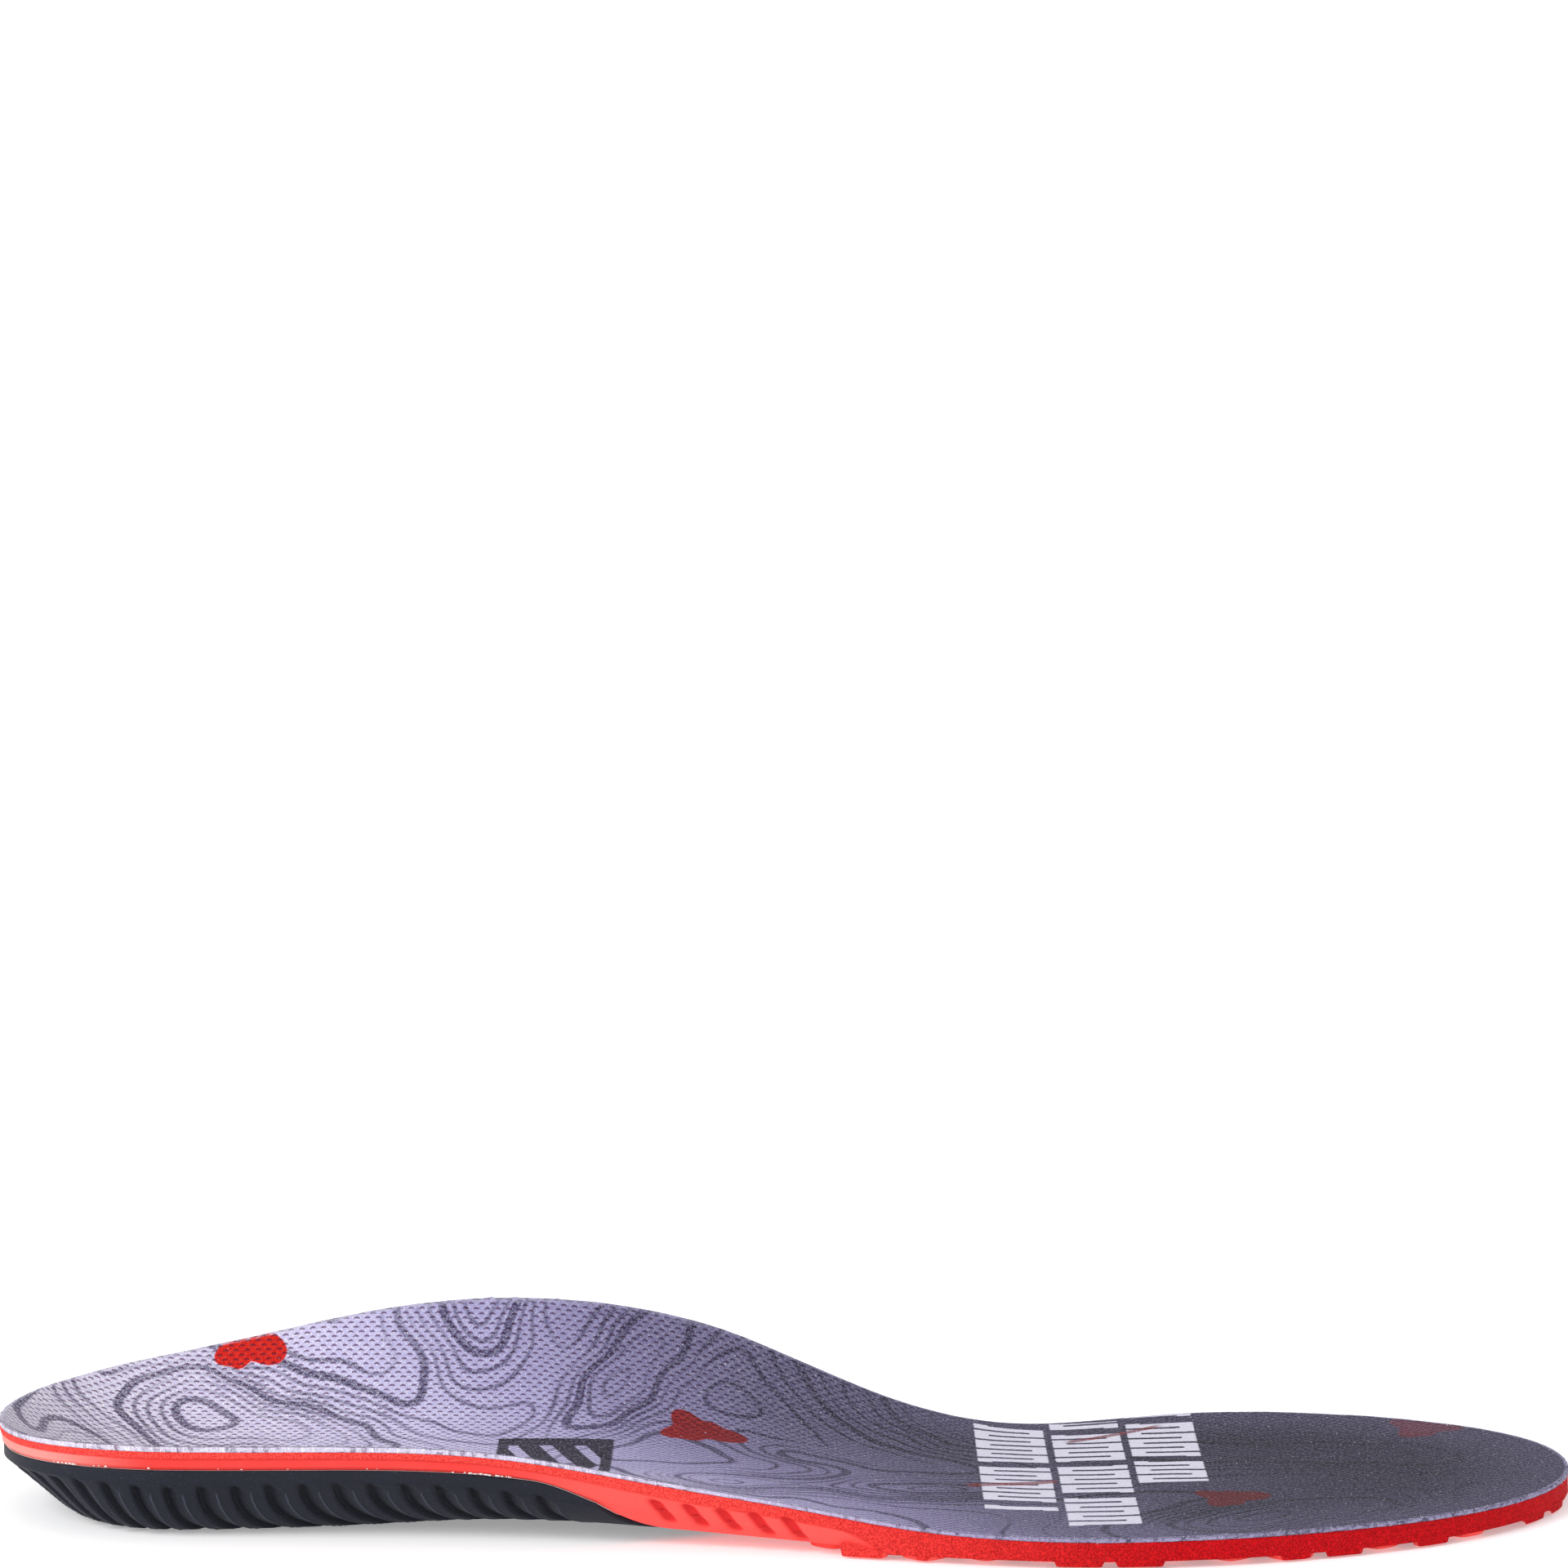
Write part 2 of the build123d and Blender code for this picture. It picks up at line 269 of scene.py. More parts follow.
def solid_from_grid(name, station, across, height, wrap=False, facts=None, ends=False):
    """A mesh from three arrays of rows and columns, its coinciding corners joined.

    With wrap, the last column is joined to the first.  With ends, the first and last columns
    are closed by a ladder of faces between the first and the second half of their rows.
    """
    rows, columns = station.shape
    points = place_points(station, across, height).reshape(-1, 3)
    index = np.arange(rows * columns).reshape(rows, columns)
    if wrap:
        index = np.hstack([index, index[:, :1]])
    quads = np.stack([index[:-1, :-1], index[:-1, 1:], index[1:, 1:], index[1:, :-1]], -1)
    quads = quads.reshape(-1, 4)
    if ends:
        quads = np.vstack([quads, end_ladder(index[:, 0], False), end_ladder(index[:, -1], True)])
    points, quads, first = join_corners(points, quads, 0.002)
    return mesh_object(name, points, quads, pick(facts, first))


def end_ladder(column, flip):
    """Rungs of faces that join the first half of a column to its second half."""
    half = len(column) // 2
    upper = column[:half]
    lower = column[::-1][:half]
    ladder = np.stack([upper[:-1], upper[1:], lower[1:], lower[:-1]], -1)
    return ladder[:, ::-1] if flip else ladder


def pick(facts, first):
    """The chosen corners' share of each attribute array."""
    facts = facts or {}
    return {key: value.reshape(-1, *value.shape[2:])[first] for key, value in facts.items()}


def mesh_object(name, points, quads, facts):
    """Put corners (mm) and four-cornered faces, some collapsed to three, into an object."""
    faces = [tidy_face(face) for face in quads.tolist()]
    faces = [face for face in faces if len(face) > 2]
    mesh = bpy.data.meshes.new(name)
    mesh.from_pydata((points * 0.001).tolist(), [], faces)
    mesh.validate()
    for key, value in facts.items():
        vector = value.ndim == 2
        layer = mesh.attributes.new(key, "FLOAT_VECTOR" if vector else "FLOAT", "POINT")
        layer.data.foreach_set("vector" if vector else "value", value.astype(np.float32).ravel())
    mesh.polygons.foreach_set("use_smooth", np.ones(len(mesh.polygons), bool))
    piece = bpy.data.objects.new(name, mesh)
    bpy.context.collection.objects.link(piece)
    if enclosed_volume(mesh) < 0:
        mesh.flip_normals()
    return piece


def tidy_face(face):
    """A face without its repeated corners."""
    return [corner for i, corner in enumerate(face) if corner != face[i - 1]]


def enclosed_volume(mesh):
    """Sum over the faces of corner, dot face normal, times area: positive when outward."""
    centres = np.zeros(len(mesh.polygons) * 3)
    normals = np.zeros(len(mesh.polygons) * 3)
    areas = np.zeros(len(mesh.polygons))
    mesh.polygons.foreach_get("center", centres)
    mesh.polygons.foreach_get("normal", normals)
    mesh.polygons.foreach_get("area", areas)
    return float(((centres * normals).reshape(-1, 3).sum(1) * areas).sum())


def grid_normals(station, across, height):
    """Unit normals of a grid of points, from the cross product of its two directions."""
    points = np.stack([station, across, height], -1)
    along = np.gradient(points, axis=1)
    down = np.gradient(points, axis=0)
    normal = np.cross(along, down)
    return normal / np.maximum(np.linalg.norm(normal, axis=-1, keepdims=True), 1e-9)


# ===================================================================== printed pattern
# Hills whose level lines are printed on the knit:
# station, place across (arc length), half length, half width, turn in degrees, height
HILLS = [
    (46, 20, 20, 8, -18, 9.0),
    (30, 14, 7, 18, 12, 5.0),
    (84, 46, 8, 15, 4, 8.0),
    (2, 4, 7, 20, -12, 5.0),
    (14, 22, 5, 16, 25, 3.0),
    (109, 26, 6, 20, -30, 6.5),
    (66, 4, 30, 7, -16, 4.0),
    (174, 38, 24, 15, -32, 9.0),
    (162, -12, 17, 7, 6, 8.0),
    (129, -22, 9, 8, 10, 6.0),
    (143, 8, 15, 5, -28, 4.0),
    (222, -34, 20, 11, 24, 9.0),
    (238, 14, 28, 8, -22, 5.5),
    (262, 28, 14, 9, -10, 3.2),
    (200, 4, 22, 12, 10, 2.5),
]


def turned(u, v, station, across, degrees):
    """Distances along and across an axis through a point, turned by some degrees."""
    c, s = math.cos(math.radians(degrees)), math.sin(math.radians(degrees))
    return (u - station) * c + (v - across) * s, -(u - station) * s + (v - across) * c


def hill_level(u, v):
    """A gentle ramp plus a sum of bell-shaped hills, over ground that is bent by noise."""
    level = 0.035 * u + 0.020 * v + 0.30 * wave_noise(u / 13, v / 13, 5)
    bend_u = 3.6 * wave_noise(u / 8, v / 8, 15)
    bend_v = 3.0 * wave_noise(u / 8, v / 8, 16)
    u, v = u + bend_u, v + bend_v
    for station, across, half_length, half_width, turn, height in HILLS:
        along, aside = turned(u, v, station, across, turn)
        far = (along / half_length)**2 + (aside / half_width)**2
        level = level + height * np.exp(-far * 0.5)
    return level


def hill_slope(u, v):
    """Steepness of the hills, in levels per millimetre."""
    step = 0.3
    along = (hill_level(u + step, v) - hill_level(u - step, v)) / (2 * step)
    aside = (hill_level(u, v + step) - hill_level(u, v - step)) / (2 * step)
    return np.hypot(along, aside)


# Leaf marks: station, place across, length, width, turn in degrees
LEAVES = [
    (41.2, 38.0, 14.5, 19.0, -20),
    (124.0, 16.5, 17.5, 17.0, -12),
    (217.5, -17.0, 14.0, 22.0, 14),
    (257.0, 31.0, 15.0, 22.0, 8),
]


def leaf_distance(u, v):
    """Rough signed distance in millimetres to the nearest leaf.

    A leaf is an ellipse whose radius swells into five lobes with the angle round it.
    """
    nearest = np.full(np.shape(u), 99.0)
    for station, across, long, wide, turn in LEAVES:
        along, aside = turned(u, v, station, across, turn)
        a, b = along / (long / 2), aside / (wide / 2)
        angle = np.arctan2(b, a)
        lobes = 0.66 + 0.30 * np.cos(angle * 2.5) * np.cos(angle / 2) + 0.10 * np.cos(5 * angle + 0.6)
        nearest = np.minimum(nearest, (np.hypot(a, b) - lobes) * wide * 0.4)
    return nearest


def cloth_lay():
    """A function giving the knit's own coordinates: station, and arc length across."""
    stations = np.linspace(-1, LENGTH + 1, 283)
    shares = np.linspace(-1.02, 1.02, 245)
    grid_station, grid_share = np.meshgrid(stations, shares, indexing="ij")
    across = centre_at(grid_station) + half_width_at(grid_station) * grid_share
    height = top_height(grid_station, across)
    steps = np.hypot(np.diff(across, axis=1), np.diff(height, axis=1))
    arc = np.hstack([np.zeros((len(stations), 1)), np.cumsum(steps, axis=1)])
    arc -= arc[:, len(shares) // 2][:, None]

    def lay(station, across):
        share = (across - centre_at(station)) / half_width_at(station)
        i = np.clip((station - stations[0]) / (stations[1] - stations[0]), 0, len(stations) - 1.001)
        j = np.clip((share - shares[0]) / (shares[1] - shares[0]), 0, len(shares) - 1.001)
        i0, j0 = i.astype(int), j.astype(int)
        fi, fj = i - i0, j - j0
        near = arc[i0, j0] * (1 - fj) + arc[i0, j0 + 1] * fj
        far = arc[i0 + 1, j0] * (1 - fj) + arc[i0 + 1, j0 + 1] * fj
        return station, near * (1 - fi) + far * fi

    return lay


lay_of = cloth_lay()


# ============================================================================== pieces
def make_top_cover():
    """The knit: the top surface out to the outline, a soft edge, and back underneath."""
    runs = np.linspace(-HALF_RUN, HALF_RUN, 861)[:-1]
    inward = np.linspace(0, 1, 66)
    top = [(r, 0.0, 0.0) for r in inward**0.95]
    edge = [(1.0, 0.12, 0.25), (1.0, 0.16, 0.5), (1.0, 0.08, 0.8)]
    below = [(r, 0.0, 1.0) for r in np.linspace(1, 0, 9)]
    rows = np.array(top + edge + below)
    run, reach = np.meshgrid(runs, rows[:, 0])
    station, across = plan_point(run, reach)
    lumps = 0.16 * wave_noise(run / 0.8, rows[:, 2][:, None] * 3, 11)
    out = rows[:, 1][:, None] + lumps * (reach > 0.999) * (rows[:, 2][:, None] > 0)
    station, across = push_out(station, across, run, out)
    depth = rows[:, 2][:, None]
    height = below_top(station, across, COVER * 0.97) * depth + top_height(station, across) * (1 - depth)
    height = height + 0.05 * wave_noise(station / 3.0, across / 3.0, 3) * (1 - depth)
    u, v = lay_of(station, across)
    brim = (1 - reach) * 40
    facts = {
        "lay": np.stack([u, v, np.zeros_like(u)], -1),
        "level": hill_level(u, v),
        "slope": hill_slope(u, v),
        "leaf": leaf_distance(u, v),
        "tone": u + 0.8 * across,
        "brim": brim,
        "cut": np.broadcast_to((depth > 0.1) * 1.0, u.shape),
    }
    return solid_from_grid("top_cover_knit", station, across, height, True, facts)


def outward(run):
    """Unit direction away from the outline, square to it, in the plan."""
    station = np.interp(np.abs(run), edge_runs, edge_stations)
    ahead = np.interp(np.minimum(np.abs(run) + 0.6, HALF_RUN), edge_runs, edge_stations)
    behind = np.interp(np.maximum(np.abs(run) - 0.6, 0), edge_runs, edge_stations)
    side = np.where(run < 0, -1.0, 1.0)
    dx = ahead - behind
    dy = outline_edge(ahead, side) - outline_edge(behind, side)
    size = np.maximum(np.hypot(dx, dy), 1e-9)
    normal_x, normal_y = -side * dy / size, side * dx / size
    tip = np.exp(-(HALF_RUN - np.abs(run)) / 0.7) + np.exp(-np.abs(run) / 0.7)
    end = np.where(station < LENGTH / 2, -1.0, 1.0)
    normal_x = normal_x * (1 - tip) + end * tip
    normal_y = normal_y * (1 - tip)
    return normal_x, normal_y


def push_out(station, across, run, amount):
    """Points moved square to the outline, in the plan, by the amount."""
    normal_x, normal_y = outward(run)
    return station + normal_x * amount, across + normal_y * amount


def make_cover_bond():
    """The hot-melt film between the knit and the foam, a little inside their edge."""
    runs = np.linspace(-HALF_RUN, HALF_RUN, 401)[:-1]
    reaches = np.concatenate([np.linspace(0, 0.993, 24), np.linspace(0.993, 0, 24)])
    depth = np.repeat([COVER + 0.01, COVER + FILM - 0.01], 24)
    run, reach = np.meshgrid(runs, reaches)
    station, across = plan_point(run, reach)
    height = below_top(station, across, depth[:, None])
    return solid_from_grid("cover_bond_film", station, across, height, True)


def foam_skin(station, drop):
    """Where the side is moulded skin (1) and where it is die-cut foam (0)."""
    ahead = ease(station, 148, 172)
    line = 1.25 + 0.9 * ease(station, 85, 125) + 9 * ahead
    return ease(drop, line - 0.12, line + 0.12) * (1 - ahead)


def groove_depth(run, drop, first, last, pitch, start, lean, curve, share=0.62):
    """Scooped grooves: sharp on the heel side, running out towards the toe.

    Each leans forward with the drop below the rim, by lean plus curve times the drop.
    """
    below = np.maximum(drop - start, 0)
    shift = lean * below + curve * below**2
    place = (np.abs(run) - shift - first) / pitch
    f = place - np.floor(place)
    scoop = ease(f, 0.0, 0.10) * np.clip(1 - (f - 0.10) / (share - 0.10), 0, 1)**1.25
    round_top = start + 1.5 * np.clip((f - 0.08) / share, 0, 1)**2
    gate = ease(drop, round_top - 0.15, round_top + 0.55)
    inside = (place >= 0) & (np.abs(run) - shift < last)
    ridge = np.exp(-((f - share) / 0.035)**2) * 0.10 * gate
    return (scoop * gate - ridge) * inside


def dense_runs(count):
    """Runs round the whole edge, twice as close together where the pill grooves are."""
    fine = np.linspace(0, HALF_RUN, 2001)
    first, last = np.interp([108, 150], edge_stations, edge_runs)
    weight = 1 + 1.4 * ((fine > first) & (fine < last))
    total = np.append(0, np.cumsum((weight[1:] + weight[:-1]) / 2))
    half = np.interp(np.linspace(0, total[-1], count // 2 + 1), total, fine)
    return np.concatenate([-half[:0:-1], half[:-1]])


def pill_depth(run, fall):
    """Slanted pill-shaped grooves: one less the distance to a short segment over its radius."""
    first = np.interp(PILL_FIRST, edge_stations, edge_runs)
    start = 3.5 - 0.045 * (np.abs(run) - first)
    below = fall - start
    place = (np.abs(run) - PILL_SLANT * below - first) / PILL_PITCH
    nearest = np.clip(np.round(place), 0, PILL_LAST)
    slope_length = math.hypot(1, PILL_SLANT)
    sideways = (place - nearest) * PILL_PITCH / slope_length
    over = np.maximum(np.maximum(-below, below - PILL_FALL), 0) * slope_length
    return ease(1 - np.hypot(sideways, over) / PILL_RADIUS, 0, 0.95)


def make_foam_bed():
    """The foam: under the knit, down the die-cut and moulded side, and its underside."""
    runs = dense_runs(1000)
    top = [(r, 0.0) for r in np.linspace(0, 1, 7)]
    side = [(1.0, t) for t in np.linspace(0.0, 1.0, 24)[1:]]
    wall = [(r, 1.0) for r in np.linspace(1, 0.62, 40)[1:]]
    below = [(r, 1.0) for r in np.linspace(0.62, 0, 14)[1:]]
    rows = np.array(top + side + wall + below)
    run, reach = np.meshgrid(runs, rows[:, 0])
    down = np.broadcast_to(rows[:, 1][:, None], run.shape)
    station, across = plan_point(run, reach)
    upper = below_top(station, across, COVER + 0.02)
    lower = foam_bottom_height(station, across)
    height = upper * (1 - down) + lower * down
    fall = np.where(down > 0, upper[6] - height, 0)
    skin = foam_skin(station, fall)
    slanted = ease(station, 95, 118) * (1 - ease(station, 150, 168))
    inset = skin * (0.30 + slanted * 0.22 * np.clip(fall - 2.2, 0, 3))
    nick = np.exp(-((fall - 1.25 - 0.9 * ease(station, 85, 125)) / 0.14)**2) * 0.18
    inset = inset + nick * (1 - ease(station, 140, 165))
    rough = 0.07 * wave_noise(run / 0.9, height / 0.6, 21) * (1 - skin)
    on_side = ease(reach, 0.90, 1.0)
    station, across = push_out(station, across, run, (rough - inset) * on_side)
    carve = pill_depth(run, fall) * (run < 0) * (down > 0.05)
    normal = grid_normals(station, across, height)
    station = station - normal[..., 0] * carve * PILL_DEPTH
    across = across - normal[..., 1] * carve * PILL_DEPTH
    height = height - normal[..., 2] * carve * PILL_DEPTH
    facts = {"skin": skin, "groove": carve}
    return solid_from_grid("foam_bed_moulded", station, across, height, True, facts)


def lug_centres():
    """Centres of the diamond lugs, every second row shifted by half a pitch."""
    centres = []
    for row in range(-6, 7):
        shift = LUG_PITCH[0] / 2 * (row % 2)
        for station in np.arange(LUG_FIRST + shift, LENGTH, LUG_PITCH[0]):
            across = row * LUG_PITCH[1]
            reach = float(reach_of(station, across)[0])
            if reach < 1.04 and float(underside_height(station, across)) < 1.35:
                centres.append((station, across))
    return np.array(centres)


def make_lugs():
    """Diamond lugs: four-sided rounded pads with sloping sides, cut off at the outline.

    Each ring of a lug is a superellipse of the lug's power at its own height.
    """
    centres = lug_centres()
    angle = np.linspace(0, 2 * np.pi, 33)[:-1]
    rings = np.array([(0.001, 0.0), (0.80, 0.0), (0.90, 0.10), (1.0, 0.95), (1.04, 1.5), (0.001, 1.5)])
    pull = (np.abs(np.cos(angle))**LUG_POWER + np.abs(np.sin(angle))**LUG_POWER)**(-1 / LUG_POWER)
    ring_x = LUG_RADII[0] * pull * np.cos(angle)
    ring_y = LUG_RADII[1] * pull * np.sin(angle)
    station = centres[:, 0][:, None, None] + rings[:, 0][None, :, None] * ring_x
    across = centres[:, 1][:, None, None] + rings[:, 0][None, :, None] * ring_y
    base = underside_height(station, across)
    height = np.broadcast_to(rings[:, 1][None, :, None], station.shape) * 1.0
    height = np.where(height > 0.5, np.maximum(height, base + 0.1), height)
    reach, _ = reach_of(station, across)
    over = np.maximum(reach, 1.0)
    hub = np.clip(station, HEEL_CAP, LENGTH - TOE_CAP)
    station = hub + (station - hub) / over
    across = centre_at(hub) + (across - centre_at(hub)) / over
    count, levels, corners = station.shape
    index = np.arange(count * levels * corners).reshape(count, levels, corners)
    points = place_points(station, across, height).reshape(-1, 3)
    caps = index[:, 0, ::-1].tolist() + index[:, -1].tolist()
    facts = {"skin": np.where(over.ravel() > 1.0, 0.0, 1.0), "groove": np.zeros(len(points))}
    piece = mesh_object("forefoot_lugs", points, ring_quads(index), facts)
    add_faces(piece, caps)
    return piece


def add_faces(piece, faces):
    """Close rings of corners with one face each."""
    work = bmesh.new()
    work.from_mesh(piece.data)
    work.verts.ensure_lookup_table()
    for face in faces:
        work.faces.new([work.verts[i] for i in face])
    bmesh.ops.recalc_face_normals(work, faces=work.faces)
    work.to_mesh(piece.data)
    work.free()
    piece.data.polygons.foreach_set("use_smooth", np.zeros(len(piece.data.polygons), bool))


def front_run(side, reach):
    """The run at which a line of equal reach meets the cradle's slanting front edge."""
    stations = np.linspace(90, 156, 600)
    line_stations, line_across = np.transpose(CRADLE_FRONT)
    line = np.interp(stations, line_stations, line_across)
    signed = (line - centre_at(stations)) / half_width_at(stations)
    station = np.interp(side * np.asarray(reach), signed, stations)
    return np.interp(station, edge_stations, edge_runs)


def cradle_runs(columns, reaches):
    """Columns from -1 to 1 spread from the outer to the inner end of the front edge."""
    outer = front_run(-1, reaches)[:, None]
    inner = front_run(1, reaches)[:, None]
    return np.where(columns < 0, columns * outer, columns * inner)


def make_cradle():
    """The cradle: plain band, scooped wall, level underside, thinning to its front edge."""
    columns = np.linspace(-1, 1, 861)
    wall = 1 - (1 - SOLE_FLAT_REACH) * np.linspace(0, 1, 34)
    floor = np.linspace(SOLE_FLAT_REACH, 0, 20)[1:]
    spread = np.concatenate([wall, floor])
    reach_rows = np.concatenate([spread[::-1], spread])
    band_rows = np.linspace(0, 1, 6)[1:-1]
    half = len(spread)
    reaches = np.concatenate([reach_rows[:half], np.ones(4), reach_rows[half:]])
    kind = np.concatenate([np.zeros(half), band_rows, np.ones(half)])
    reach = np.broadcast_to(reaches[:, None], (len(reaches), len(columns)))
    run = cradle_runs(columns, reaches)
    station, across = plan_point(run, reach, CRADLE_RATIO)
    joint = foam_bottom_height(station, across) - JOINT
    under = np.minimum(underside_height(station, across), joint - 0.3)
    under = np.maximum(under, 0.0)
    under = under + pocket(station, across)
    share = kind[:, None]
    height = joint * (1 - share) + under * share
    points_drop = np.maximum(joint[half - 1] - height, 0)
    lower = share > 0.999
    slide = np.hypot(np.gradient(across, axis=0), np.gradient(height, axis=0))
    slide = np.hypot(slide, np.gradient(station, axis=0)) * lower
    drop = points_drop * ~lower + (np.cumsum(slide, axis=0) + CRADLE_BAND) * lower
    carve = cradle_grooves(run, drop)
    normal = grid_normals(station, across, height)
    fade = ease(reach, 0.45, 0.58)
    carve = carve * (share > 0.2) * fade
    station = station - normal[..., 0] * carve
    across = across - normal[..., 1] * carve
    height = np.maximum(height - normal[..., 2] * carve, 0.0)
    facts = {"groove": carve}
    return solid_from_grid("support_cradle_shell", station, across, height, False, facts, ends=True)


def pocket(station, across):
    """The heel pad's shallow seat in the cradle's underside."""
    a = (station - PAD_STATION) / (PAD_SIZE[0] / 2)
    b = across / (PAD_SIZE[1] / 2)
    return 0.9 * (1 - ease(np.hypot(a, b), 0.93, 1.02))


def cradle_grooves(run, drop):
    """Depth of the scooped grooves on both flanks and round the heel."""
    return groove_depth(run, drop, **GROOVES) * GROOVE_DEPTH


def make_heel_pad():
    """A soft oval pad: a flat dome with two shallow rings pressed into it."""
    radius = np.concatenate([np.linspace(0, 1, 40), [1.0, 1.0], np.linspace(1, 0, 8)])
    side = np.concatenate([np.zeros(40), [0.3, 0.7], np.ones(8)])
    angle = np.linspace(0, 2 * np.pi, 97)[:-1]
    turn, r = np.meshgrid(angle, radius)
    rings = np.exp(-((r - 0.45) / 0.035)**2) + np.exp(-((r - 0.75) / 0.03)**2)
    low = 0.08 + 0.35 * r**6 + 0.22 * rings
    height = low * (1 - side[:, None]) + 1.6 * side[:, None]
    station = PAD_STATION + PAD_SIZE[0] / 2 * 0.985 * r * np.cos(turn)
    across = PAD_SIZE[1] / 2 * 0.985 * r * np.sin(turn)
    return solid_from_grid("heel_pad_soft", station, across, height, True)


def make_joint_cement():
    """The cement joint: a thin film, with beads squeezed out along its edge."""
    columns = np.linspace(-1, 1, 401)
    spread = np.linspace(1, 0, 16)
    reaches = np.concatenate([spread[::-1], spread])
    kind = np.repeat([0.0, 1.0], 16)
    run = cradle_runs(columns, reaches)
    reach = np.broadcast_to(reaches[:, None], run.shape)
    station, across = plan_point(run, reach, 0.978)
    height = foam_bottom_height(station, across) - 0.02 - (JOINT - 0.04) * kind[:, None]
    film = solid_from_grid("cradle_bond_film", station, across, height, ends=True)
    beads = make_beads()
    return film, beads


def make_beads():
    """Small drops of cement along the joint: flattened balls of five by seven faces."""
    rng = np.random.default_rng(8)
    outer = [rng.uniform(*limits) for limits in ((11, 22, 14), (85, 93, 26), (22, 85, 8))]
    inner = rng.uniform(10, 110, 30)
    stations = np.concatenate([*outer, inner])
    sides = np.repeat([-1.0, 1.0], [len(stations) - len(inner), len(inner)])
    spots = sides * np.interp(stations, edge_stations, edge_runs)
    size = rng.uniform(0.07, 0.19, len(spots))
    station, across = plan_point(spots, np.full(len(spots), 0.9935))
    height = foam_bottom_height(station, across) - 0.08 - rng.uniform(0, 0.12, len(spots))
    polar = np.linspace(0, np.pi, 6)
    around = np.linspace(0, 2 * np.pi, 8)[:-1]
    ring, turn = np.meshgrid(polar, around, indexing="ij")
    ball = np.stack([np.sin(ring) * np.cos(turn) * 1.5, np.sin(ring) * np.sin(turn), np.cos(ring) * 0.8], -1)
    centre = place_points(station, across, height)
    points = centre[:, None, None] + ball[None] * size[:, None, None, None]
    index = np.arange(len(spots) * turn.size).reshape(-1, *turn.shape)
    points, quads, _ = join_corners(points.reshape(-1, 3), ring_quads(index), 0.001)
    return mesh_object("cement_beads", points, quads, {})


def make_edge_fibres():
    """Loose yarn ends along the knit's cut edge: thin bent three-sided spikes."""
    rng = np.random.default_rng(4)
    count = FIBRE_COUNT
    run = rng.uniform(-HALF_RUN, HALF_RUN, count)
    reach = 1 - rng.uniform(0, 0.9, count)**2 / 48
    station, across = plan_point(run, reach)
    height = top_height(station, across) - rng.uniform(0.0, 0.7, count)
    normal_x, normal_y = outward(run)
    tuft = 0.5 + 0.5 * np.clip(wave_noise(run / 2.2, run * 0, 6), -1, 1)
    size = rng.uniform(0.20, 0.62, count) * (0.35 + 0.95 * tuft**1.5)
    lean = rng.uniform(-0.9, 0.9, count)
    lift = rng.uniform(-0.35, 0.9, count)
    along = np.stack([normal_x - normal_y * lean, normal_y + normal_x * lean, lift], -1)
    along /= np.linalg.norm(along, axis=1, keepdims=True)
    across_dir = np.cross(along, [0.0, 0.0, 1.0])
    across_dir /= np.linalg.norm(across_dir, axis=1, keepdims=True)
    up_dir = np.cross(across_dir, along)
    root = place_points(station, across, height)
    curl = rng.normal(0, 0.35, (count, 3))
    levels = []
    for share, thick in ((-0.15, 0.055), (0.45, 0.05), (1.0, 0.012)):
        middle = root + along * (size * share)[:, None] + curl * (size * max(share, 0)**2)[:, None]
        for turn in (0, 2 * np.pi / 3, 4 * np.pi / 3):
            levels.append(middle + (across_dir * math.cos(turn) + up_dir * math.sin(turn)) * thick)
    points = np.stack(levels, 1)
    index = np.arange(count * 9).reshape(count, 3, 3)
    tips = index[:, 2][:, [0, 1, 2, 2]]
    roots = index[:, 0][:, [2, 1, 0, 0]]
    faces = np.vstack([ring_quads(index), tips, roots])
    return mesh_object("edge_fibres", points.reshape(-1, 3), faces, {})


# =========================================================================== materials
def tone(red, green, blue):
    """A colour given as display values from 0 to 255, as the linear values a node takes."""
    def linear(value):
        value = value / 255
        return value / 12.92 if value <= 0.04045 else ((value + 0.055) / 1.055)**2.4
    return (linear(red), linear(green), linear(blue), 1.0)


